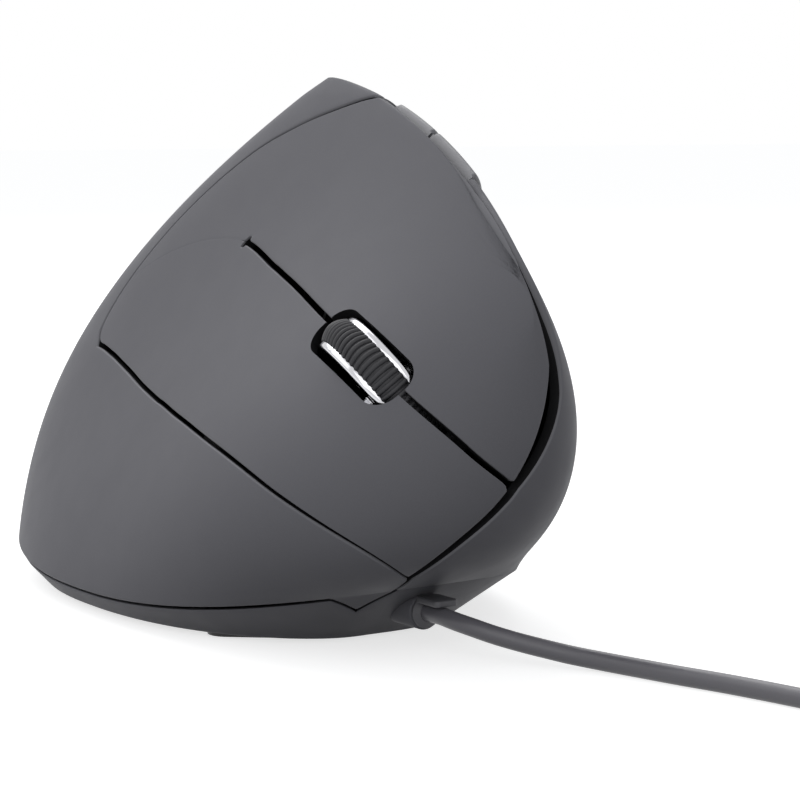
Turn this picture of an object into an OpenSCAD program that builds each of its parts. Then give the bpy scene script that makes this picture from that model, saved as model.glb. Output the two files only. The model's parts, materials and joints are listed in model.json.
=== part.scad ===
// Right-handed vertical mouse: two finger keys, a scroll wheel, two thumb buttons and a wired plug.
// Sizes are millimetres. X points to the finger side, Y to the front and Z up.
// The origin lies on the table under the middle of the body.
// The outer skin is one smooth dome. Its mouldings are cut from a flat pattern of that dome:
// a pattern point [forward, sideways] has the ridge on its middle line and the finger side positive.

/* [Waist] */
// Distance from the origin to the front end of the waist, the line where the shells meet the base
waist_front = 45; // [40:0.5:50]
// Distance from the origin to the rear end of the waist
waist_rear = 59.4; // [54:0.2:66]
// Half width of the waist on the finger side
finger_half = 30.5; // [27:0.5:34]
// Half width of the waist on the thumb side
thumb_half = 31.5; // [28:0.5:35]
// Shift of the waist towards the finger side
waist_shift = 0.9; // [-2:0.1:4]
// How far the nose end of the waist turns to the finger side
waist_bend = 3.5; // [1:0.5:5]
// Change of the half widths towards the front: finger side, thumb side
waist_taper = [-0.04, -0.12]; // [-0.3:0.02:0.1]
// Roundness of the waist, 1 is an ellipse and less is squarer
waist_round = 0.88; // [0.8:0.02:1]
// Height of the waist: front, finger side, rear, thumb side
waist_z = [9, 3.5, 9, 5]; // [3:0.5:11]

/* [Ridge] */
// Height of the ridge's rear end, which is the height of the whole body
crest_top = 75; // [72:0.5:78]
// Front end of the ridge; its height and the next two are counted from crest_top
ridge_front = [-3, 56, -31]; // [-60:0.5:60]
// Pull point of the front half of the ridge
ridge_front_pull = [-7.5, 44.5, -12.5]; // [-60:0.5:60]
// Pull point of the rear half of the ridge
ridge_rear_pull = [-9.5, -1, 1.5]; // [-60:0.5:60]
// Rear end of the ridge
ridge_rear = [-9, -4.5, 0]; // [-60:0.5:60]
// Slope of the crest towards the finger side in degrees
crest_bank = 37; // [25:1:45]
// Roundness of the crest: finger side, thumb side
crest_reach = [4.5, 3.5]; // [2:0.5:8]

/* [Ribs] */
// Outward lean of the skin at the waist in degrees: front, finger side, rear, thumb side
rib_lean = [72, -8, 12, -39]; // [-50:1:80]
// How far the skin keeps that lean: front, finger side, rear, thumb side
rib_rise = [26, 26, 34.5, 24]; // [18:0.5:40]
// Swell of the thumb side under the thumb buttons
thumb_swell = 5; // [3:0.5:7]

/* [Shells] */
// Wall of the mouldings
wall = 2; // [1.6:0.1:2.4]
// Gap at the seams between fixed mouldings
seam_gap = 0.35; // [0.25:0.05:0.5]
// Gap at the lower edge of the keys
low_gap = 0.5; // [0.4:0.05:0.7]
// Gap of the slit between the two keys
slit_gap = 0.6; // [0.5:0.05:0.8]
// Gap in front of the keys
nose_gap = 0.9; // [0.8:0.05:1.2]
// Gap at the flexing line of the keys
flex_gap = 0.3; // [0.25:0.05:0.4]
// How far the base tucks in under the waist: front, finger side, rear, thumb side
base_inset = [12, 2, 11, 4.5]; // [1:0.5:14]
// Floor of the base
base_floor = 2; // [1.6:0.2:2.6]
// Height of the glide feet
foot_h = 0.6; // [0.4:0.1:1]
// How far the thumb buttons stand proud of the skin
button_proud = 0.6; // [0.4:0.1:1]

/* [Wheel] */
// Radius of the scroll wheel over its tyre
wheel_r = 11.5; // [11:0.5:12]
// Width of the rubber tyre
tyre_w = 4; // [3.5:0.5:4.5]
// Width of each bright rim
rim_w = 0.9; // [0.8:0.1:1]
// How far the wheel stands out of the keys
wheel_proud = 3.5; // [3:0.5:4]
// How much the tyre's middle stands over its edges
tyre_crown = 0.9; // [0.6:0.1:1]
// Number of grip ribs round the tyre
tyre_ribs = 72; // [60:2:84]
// Radius of the wheel's axle
axle_r = 1.5; // [1.2:0.1:1.8]
// Radial running clearance of the axle and of the pivot pins
pin_clear = 0.06; // [0.04:0.01:0.1]
// Length and width of the wheel slot
slot_size = [19.6, 7.8]; // [7.4:0.2:20.4]
// How far the axle and the slot's middle lie behind the middle of the key frame
axle_back = 2.6; // [2.4:0.1:2.8]
slot_back = 3.5; // [3.3:0.1:3.7]

/* [Boards] */
// Thickness of the circuit boards
board_t = 1.6; // [1:0.2:2]
// Key switch: width, length and height
switch_size = [5.8, 12.8, 6.5]; // [5:0.1:14]
// Small switch: side and height
tact_size = [6, 2.8]; // [2.4:0.2:7]
// How far a switch plunger stands out of its switch
plunger_h = 0.7; // [0.5:0.1:1]
// Play between a key's post and its plunger
press_play = 0.15; // [0.1:0.05:0.2]

/* [Cable] */
// Diameter of the cable
cable_d = 2.4; // [2.2:0.1:2.6]
// Layers of the coil, an even number
coil_layers = 4; // [2:2:4]
// Turns in each layer of the coil
coil_turns = 4; // [3:1:5]
// Radius of the coil's inner turn
coil_inner = 7; // [6:0.2:8]

/* [Hidden] */
$fn = 48;

// Skin of the body

// Ridge and corner values gathered for the formulas
ridge = [for (p = [ridge_front, ridge_front_pull, ridge_rear_pull, ridge_rear]) p + [0, 0, crest_top]];
base_z = foot_h;
crest_mean = (crest_reach[0] + crest_reach[1]) / 2;
// Half the ridge's length in the flat pattern, and how far the pattern spreads from ridge to waist
focus = 35;
spread = 1.5;
// Share of the pattern that the base wall takes below the waist
base_share = 0.15;
// Direction of the thumb-side swell and the rib height where it is fullest
swell_turn = -105;
swell_at = 0.75;
// Reach of the smoothed normal in the flat pattern
normal_reach = 8;

function unit(v) = v / norm(v);
function mix(a, b, t) = a + (b - a) * t;
function signed_power(x, e) = sign(x) * pow(abs(x), e);
function bezier(p, t) =
    pow(1 - t, 3) * p[0] + 3 * t * pow(1 - t, 2) * p[1] + 3 * t * t * (1 - t) * p[2] + pow(t, 3) * p[3];
function bezier_slope(p, t) =
    pow(1 - t, 2) * (p[1] - p[0]) + 2 * t * (1 - t) * (p[2] - p[1]) + t * t * (p[3] - p[2]);

// A value that runs smoothly round the body through its front, finger, rear and thumb values
function around(u, v) =
    (v[0] + v[1] + v[2] + v[3]) / 4 + (v[0] - v[2]) / 2 * cos(u) + (v[1] - v[3]) / 2 * sin(u)
    + (v[0] + v[2] - v[1] - v[3]) / 4 * cos(2 * u);

// Waist line: u is the turn round the body, 0 at the front and 90 on the finger side
function waist(u) =
    let (finger = sin(u) > 0,
         half = finger ? finger_half : thumb_half,
         taper = finger ? waist_taper[0] : waist_taper[1])
    [waist_shift + half * signed_power(sin(u), waist_round) * (1 + taper * cos(u)) + waist_bend * cos(u),
     (waist_front - waist_rear) / 2 + (waist_front + waist_rear) / 2 * signed_power(cos(u), waist_round),
     around(u, waist_z)];
function outward(u) =
    let (step = waist(u + 0.5) - waist(u - 0.5))
    unit([-step[1], step[0], 0]);
function base_edge(u) =
    let (w = waist(u) - around(u, base_inset) * outward(u))
    [w[0], w[1], base_z];

// Control points of the rib that climbs from the waist to the ridge at turn u
function rib(u) =
    let (w = waist(u),
         s = (1 - cos(u)) / 2,
         r = bezier(ridge, s),
         along = -unit(bezier_slope(ridge, s)),
         tilt = [cos(crest_bank), 0, -sin(crest_bank)],
         across = unit(tilt - (along * tilt) * along),
         reach = around(u, [crest_mean, crest_reach[0], crest_mean, crest_reach[1]]),
         lean = around(u, rib_lean))
    [w,
     w + around(u, rib_rise) * (sin(lean) * outward(u) + [0, 0, cos(lean)]),
     r + reach * sin(u) * across,
     r];
function swell(u, v) =
    let (turn = abs(((u - swell_turn + 540) % 360) - 180),
         height = pow(v / swell_at, 6) * pow((1 - v) / (1 - swell_at), 2))
    turn < 60 ? thumb_swell * height * pow(cos(1.5 * turn), 2) : 0;
function skin_at(u, v) =
    v < 0 ? mix(waist(u), base_edge(u), -v / base_share)
          : bezier(rib(u), v) - [swell(u, v), 0, 0];

// Flat pattern to turn and height, and back
function to_turn(q) =
    let (x = q[0] / focus,
         y = q[1] / focus,
         a = norm([x + 1, y]),
         b = norm([x - 1, y]),
         c = max((a + b) / 2, 1))
    [acos(min(max((a - b) / 2, -1), 1)) * (y < 0 ? -1 : 1), 1 - ln(c + sqrt(c * c - 1)) / spread];
function to_pattern(u, v) =
    let (e = exp(spread * (1 - v)))
    focus * [(e + 1 / e) / 2 * cos(u), (e - 1 / e) / 2 * sin(u)];
function skin(q) =
    let (p = to_turn(q))
    skin_at(p[0], p[1]);
function skin_normal(q) =
    let (h = normal_reach)
    unit(cross(skin(q + [0, h]) - skin(q - [0, h]), skin(q + [h, 0]) - skin(q - [h, 0])));
// Near the waist the wall turns level, so that its rim sits flat on the base
function wall_direction(q) =
    let (n = skin_normal(q),
         level = min(max(to_turn(q)[1] / 0.12, 0), 1))
    unit([n[0], n[1], n[2] * level]);

// Seams, as smooth lines through points of the flat pattern

function through(p, t) =
    let (n = len(p) - 1,
         k = min(floor(t * n), n - 1),
         f = t * n - k,
         b = p[k],
         c = p[k + 1],
         m0 = k == 0 ? c - b : (c - p[k - 1]) / 2,
         m1 = k == n - 1 ? c - b : (p[k + 2] - b) / 2)
    (2 * pow(f, 3) - 3 * f * f + 1) * b + (pow(f, 3) - 2 * f * f + f) * m0
    + (3 * f * f - 2 * pow(f, 3)) * c + (pow(f, 3) - f * f) * m1;
// The same line moved d to its left
function beside(p, t, d) =
    let (g = unit(through(p, min(t + 0.01, 1)) - through(p, max(t - 0.01, 0))))
    through(p, t) + d * [-g[1], g[0]];
function run(p, from, to, count, d = 0) =
    [for (i = [0:count]) beside(p, mix(from, to, i / count), d)];
function line(from, to, count) =
    [for (i = [0:count]) mix(from, to, i / count)];

// Lower edge of the key panel, from its rear corner to its front tip
low_seam = [[-34, 33], [-18.4, 39], [2.8, 42.4], [21.7, 40], [38.9, 32.7], [60.4, 18.5], [73, 11]];
// Slit between the keys, from its closed end to the front seam
slit = [[-11, 23.5], [4.1, 24.8], [19.2, 22.6], [34, 15.7], [45.2, 7], [52, 0]];
// Seam in front of the keys, from the front tip up the nose and back along the crest
front_seam = [[73, 11], [62.5, 5.5], [52, 0], [38, -2.9], [20, -0.7], [5, -2], [-12, -2]];
// Seam behind the key panel, from the crest to the panel's rear corner
rear_seam = [[-12, -2], [-13.4, 2], [-17, 6.3], [-22.5, 9.7], [-28.5, 12.5], [-33.5, 17],
    [-36.5, 23.5], [-36.5, 29.5], [-34, 33]];
// Share of the front seam where the slit meets it, and where it turns on to the crest
slit_end = 2 / 6;
nose_top = 3 / 6;
// Gap along the crest in the flat pattern, which is drawn out there
crest_gap = 3;
// Half the gap along the rear seam, opened out towards the crest
function rear_gap(t) = seam_gap / 2 * (1 + 2.5 * pow(1 - t, 6));
// Flexing line of the keys: shares of the lower and front seams where it ends
flex_low = 0.255;
flex_top = 0.955;
// Turns of the waist where the shells meet each other: at the nose and behind the thumb
nose_turn = 9.5;
thumb_turn = -126;
// Tongue of the main shell that laps down over the base: its two ends, its tip and its depth
tongue_turn = [9.5, 25];
tongue_tip = 18.5;
tongue_depth = 0.05;
function waist_v(u) =
    u < tongue_turn[0] || u > tongue_turn[1] ? 0
    : -tongue_depth * (u < tongue_tip ? (u - tongue_turn[0]) / (tongue_tip - tongue_turn[0])
                                      : (tongue_turn[1] - u) / (tongue_turn[1] - tongue_tip));
// Window of the thumb buttons in the flat pattern: rear, middle and front edges, lower and crest edges
button_x = [-11.2, -1.2, 9.8];
button_y = [-16, -4.8];
window_gap = 0.5;
// Share of a sheet over which its wall thins to a rim, and the thinned share of the wall
rim_reach = 0.3;
thin_rim = 0.45;

// One moulding: a sheet of the skin between two rows of pattern points, with its wall inside.
// bow bends its first and last edges sideways; rim thins its wall towards the low and high rows.
module sheet(low, high, rows, thick, proud = 0, bow = [[0, 0], [0, 0]], rim = [1, 1]) {
    n = len(low);
    turned = cross(low[1] - low[0], high[0] - low[0]) < 0;
    grid = [for (j = [0:rows]) let (b = j / rows) for (i = [0:n - 1]) let (s = i / (n - 1))
        mix(low[i], high[i], b) + 4 * b * (1 - b) * (bow[0] * pow(1 - s, 2) + bow[1] * s * s)];
    outer = [for (q = grid) skin(q) + proud * skin_normal(q)];
    inner = [for (k = [0:len(grid) - 1])
        let (q = grid[k],
             b = floor(k / n) / rows,
             thin = min(1, rim[0] + (1 - rim[0]) * b / rim_reach, rim[1] + (1 - rim[1]) * (1 - b) / rim_reach))
        skin(q) - (thick * thin - proud) * wall_direction(q)];
    m = n * (rows + 1);
    quads = concat(
        [for (j = [0:rows - 1]) for (i = [0:n - 2]) let (k = j * n + i) [k, k + 1, k + n + 1, k + n]],
        [for (j = [0:rows - 1]) for (i = [0:n - 2]) let (k = m + j * n + i) [k, k + n, k + n + 1, k + 1]],
        [for (i = [0:n - 2]) [i + 1, i, m + i, m + i + 1]],
        [for (i = [0:n - 2]) let (k = rows * n + i) [k, k + 1, m + k + 1, m + k]],
        [for (j = [0:rows - 1]) let (k = j * n) [k, k + n, m + k + n, m + k]],
        [for (j = [0:rows - 1]) let (k = j * n + n - 1) [k + n, k, m + k, m + k + n]]);
    faces = [for (f = quads) for (t = [[f[0], f[1], f[2]], [f[0], f[2], f[3]]])
        turned ? [t[2], t[1], t[0]] : t];
    polyhedron(concat(outer, inner), faces);
}

// Frame of the wheel: X along the axle to the lower key, Y forward along the slot, Z out of the keys

key_turn = [-30.5, 39.5, -21];
function turn_x(v, a) = [v[0], cos(a) * v[1] - sin(a) * v[2], sin(a) * v[1] + cos(a) * v[2]];
function turn_y(v, a) = [cos(a) * v[0] + sin(a) * v[2], v[1], cos(a) * v[2] - sin(a) * v[0]];
function turn_z(v, a) = [cos(a) * v[0] - sin(a) * v[1], sin(a) * v[0] + cos(a) * v[1], v[2]];
function from_keys(v) = turn_z(turn_y(turn_x(v, key_turn[0]), key_turn[1]), key_turn[2]);
// Middle of the key frame in the flat pattern
frame_middle = [31, 17.7];
wheel_sunk = wheel_r - wheel_proud;
slot_clear = 0.6;
wheel_middle = skin(frame_middle) - wheel_sunk * from_keys([0, 0, 1]);
function to_keys(p) =
    turn_x(turn_y(turn_z(p - wheel_middle, -key_turn[2]), -key_turn[1]), -key_turn[0]);
module in_keys() {
    translate(wheel_middle) rotate(key_turn) children();
}
// Height of the key board's upper face in the wheel frame
key_board_z = -6;
// Points of the keys that press the switches, in the flat pattern
left_press = [16.7, 12];
right_press = [28.5, 31.5];
left_spot = to_keys(skin(left_press));
right_spot = to_keys(skin(right_press));
post_r = 1.8;
plunger_top = key_board_z + switch_size[2] + plunger_h;
// A key's post reaches from inside the key's wall down to its plunger
module key_post(spot) {
    low = plunger_top + press_play;
    in_keys() translate([spot[0], spot[1], low]) cylinder(r = post_r, h = spot[2] - wall / 2 - low);
}
// The slot goes straight through the keys, and their wall is hollowed round the wheel
module slot_cut() {
    corner = 3.2;
    in_keys() translate([0, -slot_back, 0]) linear_extrude(3 * wheel_r)
        rounded_plan(slot_size[1], slot_size[0], corner);
    along_axle() cylinder(r = wheel_r + slot_clear, h = slot_size[1] - 0.4, center = true);
}
// Rectangle with round corners, centred
module rounded_plan(x, y, r) {
    square([x - 2 * r, y], center = true);
    square([x, y - 2 * r], center = true);
    for (i = [-1, 1]) for (j = [-1, 1])
        translate([i * (x / 2 - r), j * (y / 2 - r)]) circle(r);
}

// Fixed mouldings

shell_color = [0.40, 0.40, 0.43];
dark_color = [0.16, 0.16, 0.18];
board_color = [0.10, 0.32, 0.20];
steel_color = [0.72, 0.72, 0.74];

// Turns of the waist where the shells' facets stand, so that base and shells match
function steps(from, to, count) = [for (i = [0:count]) mix(from, to, i / count)];
main_turns = concat(steps(nose_turn + 0.4, tongue_tip, 2), steps(tongue_turn[1], 122, 19),
    steps(128, 360 + thumb_turn - 0.25, 16));
thumb_turns = concat(steps(nose_turn - 0.4, -12, 6), steps(-16, -66, 8), steps(-69, -75, 3),
    steps(-79, -107, 7), steps(-110, -116, 3), [thumb_turn]);
function waist_points(turns) = [for (u = turns) to_pattern(u, waist_v(u))];

module main_shell() {
    color(shell_color)
    sheet(concat(run(low_seam, 1, 0, 22, low_gap / 2),
            [for (i = [0:16]) let (t = mix(0.95, 0, i / 16)) beside(rear_seam, t, rear_gap(t))]),
        waist_points(main_turns), 11, wall);
}
module thumb_shell() {
    top = button_y[1] + 1.4;
    low = button_y[0] - window_gap;
    front = button_x[2] + window_gap;
    rear = button_x[0] - window_gap;
    color(shell_color) difference() {
        union() {
            thumb_sheet(top, low, front, rear);
            for (q = thumb_post_at) thumb_post(q);
        }
        for (q = thumb_post_at) thumb_hole(q);
    }
}
module thumb_sheet(top, low, front, rear) {
        sheet(concat(
                run(front_seam, 0, slit_end, 6, nose_gap),
                [for (i = [1:9]) let (t = mix(slit_end, 0.745, i / 9))
                    beside(front_seam, t, mix(nose_gap, crest_gap, min(i / 3, 1)))],
                line([front, top], [front, low], 3),
                line([front - 2.5, low], [rear + 2.5, low], 7),
                line([rear, low], [rear, top], 3),
                [[front_seam[6][0], front_seam[6][1] - 0.4]]),
            waist_points(thumb_turns), 11, wall, 0, [[0, 0], [0, 0]], [thin_rim, 1]);
}
module button_panel() {
    color(shell_color)
    sheet([for (i = [0:14]) let (t = mix(0.985, 0.02, i / 14)) beside(rear_seam, t, -rear_gap(t))],
        [for (i = [0:14]) flex_line(i / 14) - [flex_gap / 2 * (1 + 2 * pow(i / 14, 4)), 0]],
        7, wall, 0, [[-0.3, 1.2], [0, 0]]);
}
// The flexing line runs from the lower seam through the slit's end to the crest
function flex_line(t) =
    t < 0.5 ? mix(beside(low_seam, flex_low, -low_gap / 2), slit[0], t / 0.5)
            : mix(slit[0], through(front_seam, flex_top), (t - 0.5) / 0.5);

module left_button() {
    color(shell_color) difference() {
        union() {
            sheet(concat([slit[0] + [flex_gap / 2, -slit_gap / 2]], run(slit, 0.05, 0.985, 22, -slit_gap / 2)),
                concat([through(front_seam, flex_top) + [1.5 * flex_gap, 0]],
                    run(front_seam, flex_top - 0.02, nose_top, 22)),
                9, wall, 0, [[0, 0], [0.4, -0.5]], [1, thin_rim]);
            key_post(left_spot);
        }
        slot_cut();
    }
}
module right_button() {
    color(shell_color) difference() {
        union() {
            sheet(concat([beside(low_seam, flex_low, -low_gap / 2) + [flex_gap / 2, 0]],
                    run(low_seam, flex_low + 0.02, 0.985, 22, -low_gap / 2)),
                concat([slit[0] + [flex_gap / 2, slit_gap / 2]], run(slit, 0.05, 0.985, 22, slit_gap / 2)),
                7, wall);
            key_post(right_spot);
        }
        slot_cut();
    }
}

// Base tray: a floor with a wall up to the waist, a collar for the cable and bosses for the screws

exit_at = [4.5, 42.6, 5.2];
collar_r = 2.45;
relief_r = 1.7;
screw_r = 1.1;
leg_r = 3;
floor_top = base_z + base_floor;
sensor_at = [0, -6];
lens_size = [8, 10];
// Point of the base wall that lies a seam's gap below the shells
function under_seam(u, down) =
    skin_at(u, waist_v(u) - base_share * down / (around(u, waist_z) - base_z));
module base_tray() {
    turns = concat(main_turns, [for (i = [len(thumb_turns) - 1:-1:0]) thumb_turns[i]]);
    n = len(turns);
    rings = [
        [for (u = turns) base_edge(u) - 1.2 * outward(u)],
        [for (u = turns) base_edge(u) + [0, 0, 0.5]],
        [for (u = turns) under_seam(u, seam_gap + 0.1)],
        [for (u = turns) under_seam(u, seam_gap) - wall * outward(u)],
        [for (u = turns) let (b = base_edge(u) - (wall + 0.6) * outward(u)) [b[0], b[1], floor_top]]];
    points = concat([for (r = rings) each r], [[0, 0, base_z], [0, 0, floor_top]]);
    last = len(rings) * n;
    faces = concat(
        [for (i = [0:n - 1]) [last, (i + 1) % n, i]],
        [for (r = [0:len(rings) - 2]) for (i = [0:n - 1]) let (a = r * n + i, b = r * n + (i + 1) % n)
            each [[a, b, a + n], [b, b + n, a + n]]],
        [for (i = [0:n - 1]) [last + 1, last - n + i, last - n + (i + 1) % n]]);
    color(shell_color) difference() {
        union() {
            polyhedron(points, faces);
            translate([exit_at[0], exit_at[1] - 6, exit_at[2]]) rotate([-90, 0, 0])
                cylinder(r = collar_r, h = 6);
            for (p = board_post_at)
                translate([p[0], p[1], floor_top - 0.5]) cylinder(r = 2.4, h = main_board_z - floor_top + 0.5);
        }
        translate([exit_at[0], exit_at[1] - 20, exit_at[2]]) rotate([-90, 0, 0])
            cylinder(r = relief_r + 0.1, h = 30);
        for (p = leg_at) translate([p[0], p[1], base_z - 1]) {
            cylinder(r = screw_r + 0.2, h = 10);
            cylinder(r = 2.4, h = 2);
        }
        for (p = board_post_at) translate([p[0], p[1], floor_top]) cylinder(r = screw_r - 0.2, h = 10);
        translate([sensor_at[0], sensor_at[1], base_z - 1]) linear_extrude(10)
            rounded_plan(lens_size[0] - 2, lens_size[1] - 2, 1.5);
    }
}
module glide_feet() {
    foot = [7, 16];
    color(dark_color) for (f = [[16, 21, -38], [-12, 13, 58], [18, -30, 42], [-14, -34, -40]])
        translate([f[0], f[1], 0]) rotate(f[2]) linear_extrude(foot_h)
            rounded_plan(foot[1], foot[0], 3);
}
module base_screws() {
    color(steel_color) for (p = leg_at) translate([p[0], p[1], base_z + 0.3]) {
        cylinder(r = 2.1, h = 0.7);
        cylinder(r = screw_r - 0.1, h = base_floor + 5);
    }
}

// Wheel, its carriage and its switch

bar_x = 6.8;
bar_w = 1.8;
pivot_y = -17.5;
pivot_z = -2.5;
pivot_r = 1.3;
bar_low = -4;
bar_high = -1;
front_bar_y = wheel_r - axle_back + 0.5;
front_bar_t = 1.4;
hub_w = tyre_w + 2 * rim_w;
rim_r = wheel_r - tyre_crown - 0.2;
tact_spot = [bar_x + bar_w + 4.2, 5];
module along_axle() {
    in_keys() translate([0, -axle_back, 0]) rotate([0, 90, 0]) children();
}
module scroll_wheel() {
    rim_in = tyre_w / 2;
    seat_r = wheel_r - 2;
    color(steel_color) along_axle() rotate_extrude() polygon([
        [0, -bar_x - 4.5], [axle_r, -bar_x - 4.5], [axle_r, -hub_w / 2 + 0.3], [4, -hub_w / 2 + 0.3],
        [5, -rim_in], [rim_r - 2, -rim_in], [rim_r - 1.2, -hub_w / 2], [rim_r - 0.4, -hub_w / 2],
        [rim_r, -hub_w / 2 + 0.4], [rim_r, -rim_in], [seat_r, -rim_in], [seat_r, rim_in],
        [rim_r, rim_in], [rim_r, hub_w / 2 - 0.4], [rim_r - 0.4, hub_w / 2], [rim_r - 1.2, hub_w / 2],
        [rim_r - 2, rim_in], [5, rim_in], [4, hub_w / 2 - 0.3], [axle_r, hub_w / 2 - 0.3],
        [axle_r, bar_x + bar_w + 0.6], [0, bar_x + bar_w + 0.6]]);
}
// The tyre is a crowned band; each groove is cut as deep at its edges as in its middle
module tyre_band(r) {
    rotate_extrude() polygon(concat(
        [for (i = [-2:2]) [r - tyre_crown * i * i / 4, i / 4 * tyre_w]],
        [[wheel_r - 2, tyre_w / 2], [wheel_r - 2, -tyre_w / 2]]));
}
module wheel_tyre() {
    groove = 0.4;
    rib_w = 0.6 * 2 * PI * wheel_r / tyre_ribs;
    color(dark_color) along_axle() union() {
        tyre_band(wheel_r - groove);
        intersection() {
            tyre_band(wheel_r);
            for (i = [0:tyre_ribs - 1]) rotate(360 * i / tyre_ribs)
                translate([wheel_r - 2, -rib_w / 2, -tyre_w]) cube([4, rib_w, 2 * tyre_w]);
        }
    }
}
module wheel_carriage() {
    rear_bar_y = pivot_y - 1.8;
    color(dark_color) in_keys() difference() {
        union() {
            for (s = [-1, 1]) {
                translate([s > 0 ? bar_x : -bar_x - bar_w, rear_bar_y, bar_low])
                    cube([bar_w, front_bar_y + front_bar_t - rear_bar_y, bar_high - bar_low]);
                translate([s > 0 ? bar_x : -bar_x - bar_w, -axle_back - 3, bar_high]) cube([bar_w, 6, 1.5]);
                translate([s * (bar_x + bar_w / 2), -axle_back, 0]) rotate([0, 90, 0])
                    cylinder(r = 3, h = bar_w, center = true);
                translate([s > 0 ? bar_x + bar_w : -bar_x - bar_w - 2.6, pivot_y, pivot_z])
                    rotate([0, 90, 0]) cylinder(r = pivot_r, h = 2.6);
            }
            translate([-bar_x - bar_w, front_bar_y, bar_low])
                cube([2 * (bar_x + bar_w), front_bar_t, bar_high - bar_low]);
            translate([-bar_x - bar_w, rear_bar_y, bar_low])
                cube([2 * (bar_x + bar_w), 2, bar_high - bar_low]);
            translate([bar_x, tact_spot[1] - 2, bar_high - 1.6])
                cube([tact_spot[0] + 1.6 - bar_x, 4, 1.6]);
        }
        translate([0, -axle_back, 0]) rotate([0, 90, 0])
            cylinder(r = axle_r + pin_clear, h = 40, center = true);
    }
}
module scroll_encoder() {
    color(board_color) in_keys() difference() {
        translate([-bar_x - bar_w - 3.4, -axle_back - 4, -4]) cube([3.3, 8, 7.4]);
        translate([0, -axle_back, 0]) rotate([0, 90, 0])
            cylinder(r = axle_r + pin_clear, h = 40, center = true);
    }
}
tact_top = bar_high - 1.6 - 0.1;
module wheel_switch() {
    s = tact_size[0];
    color(dark_color) in_keys() difference() {
        translate([tact_spot[0] - s / 2, tact_spot[1] - s / 2, key_board_z])
            cube([s, s, tact_top - plunger_h - key_board_z]);
        translate([tact_spot[0], tact_spot[1], tact_top - plunger_h - 1.2]) cylinder(r = 1.3, h = 3);
    }
}
module wheel_plunger() {
    color("white") in_keys()
        translate([tact_spot[0], tact_spot[1], tact_top - plunger_h - 0.2]) cylinder(r = 1.1, h = plunger_h + 0.2);
}

// Inner frame: a sloping plate on three legs that carries the key board and the wheel carriage

frame_t = 2;
frame_x = [-18, 19];
frame_y = [-26, 9];
// The frame's left arm ends behind the nose wall
left_arm_y = -5;
frame_z = key_board_z - board_t;
window_x = bar_x + bar_w + 0.6;
// Legs stand under these points of the plate, so that they keep with it
leg_spot = [[17.78, -28.77], [-11.42, -24.5], [9.29, -12.84]];
leg_at = [for (k = leg_spot) let (p = wheel_middle + from_keys([k[0], k[1], frame_z - frame_t / 2])) [p[0], p[1]]];
ear_x = window_x + 0.2;
ear_w = 2;
module frame_plan(inset) {
    rear_x = -12 + inset;
    band_y = pivot_y - 2.6;
    translate([rear_x, frame_y[0] + inset])
        square([frame_x[1] - inset - rear_x, band_y - frame_y[0] - inset]);
    translate([frame_x[0] + inset, band_y + 0.7 + inset])
        square([-window_x - frame_x[0] - inset, left_arm_y - band_y - 0.7 - 2 * inset]);
    translate([rear_x, band_y - 1])
        square([-window_x - rear_x, 4]);
    translate([window_x, band_y - 1])
        square([frame_x[1] - inset - window_x, frame_y[1] - inset - band_y + 1]);
}
module inner_frame() {
    reach = 80;
    color(dark_color) difference() {
        union() {
            in_keys() translate([0, 0, frame_z - frame_t]) linear_extrude(frame_t) frame_plan(0);
            in_keys() for (s = [-1, 1]) translate([s > 0 ? ear_x : -ear_x - ear_w, pivot_y - 3, frame_z - frame_t])
                cube([ear_w, 6, pivot_z + 2.6 - frame_z + frame_t]);
            intersection() {
                for (p = leg_at) translate([p[0], p[1], floor_top]) cylinder(r = leg_r, h = reach);
                in_keys() translate([-reach, -reach, frame_z - frame_t - reach]) cube([2 * reach, 2 * reach, reach + 1]);
            }
        }
        in_keys() translate([0, pivot_y, pivot_z]) rotate([0, 90, 0])
            cylinder(r = pivot_r + pin_clear, h = 60, center = true);
        for (p = leg_at) translate([p[0], p[1], floor_top - 1]) cylinder(r = screw_r - 0.1, h = 7);
        in_keys() for (p = key_screw_at) translate([p[0], p[1], frame_z - 6]) cylinder(r = screw_r - 0.2, h = 10);
    }
}
key_screw_at = [[-8, frame_y[0] + 3], [frame_x[1] - 4, frame_y[0] + 3], [frame_x[1] - 3, -0.25]];
module key_board() {
    color(board_color) in_keys() translate([0, 0, frame_z]) linear_extrude(board_t) difference() {
        frame_plan(0.3);
        for (s = [-1, 1]) translate([s > 0 ? ear_x - 0.3 : -ear_x - ear_w - 0.3, pivot_y - 3.3])
            square([ear_w + 0.6, 6.6]);
        for (p = key_screw_at) translate(p) circle(screw_r + 0.1);
    }
}
module key_board_screws() {
    color(steel_color) in_keys() for (p = key_screw_at) translate([p[0], p[1], key_board_z]) {
        cylinder(r = 1.8, h = 0.9);
        translate([0, 0, -3]) cylinder(r = screw_r - 0.25, h = 3.2);
    }
}
module key_switch(spot) {
    color(dark_color) in_keys() difference() {
        translate([spot[0] - switch_size[0] / 2, spot[1] - switch_size[1] / 2, key_board_z]) cube(switch_size);
        translate([spot[0], spot[1], key_board_z + switch_size[2] - 1.4]) cylinder(r = 1.5, h = 3);
    }
}
module key_plunger(spot) {
    color("white") in_keys()
        translate([spot[0], spot[1], plunger_top - plunger_h - 0.5]) cylinder(r = 1.3, h = plunger_h + 0.5);
}
module left_switch() { key_switch(left_spot); }
module left_plunger() { key_plunger(left_spot); }
module right_switch() { key_switch(right_spot); }
module right_plunger() { key_plunger(right_spot); }

// Thumb buttons, their board and switches.
// Frame of the thumb board: X up the body, Y along the buttons to the front, Z out of the thumb side.

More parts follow.
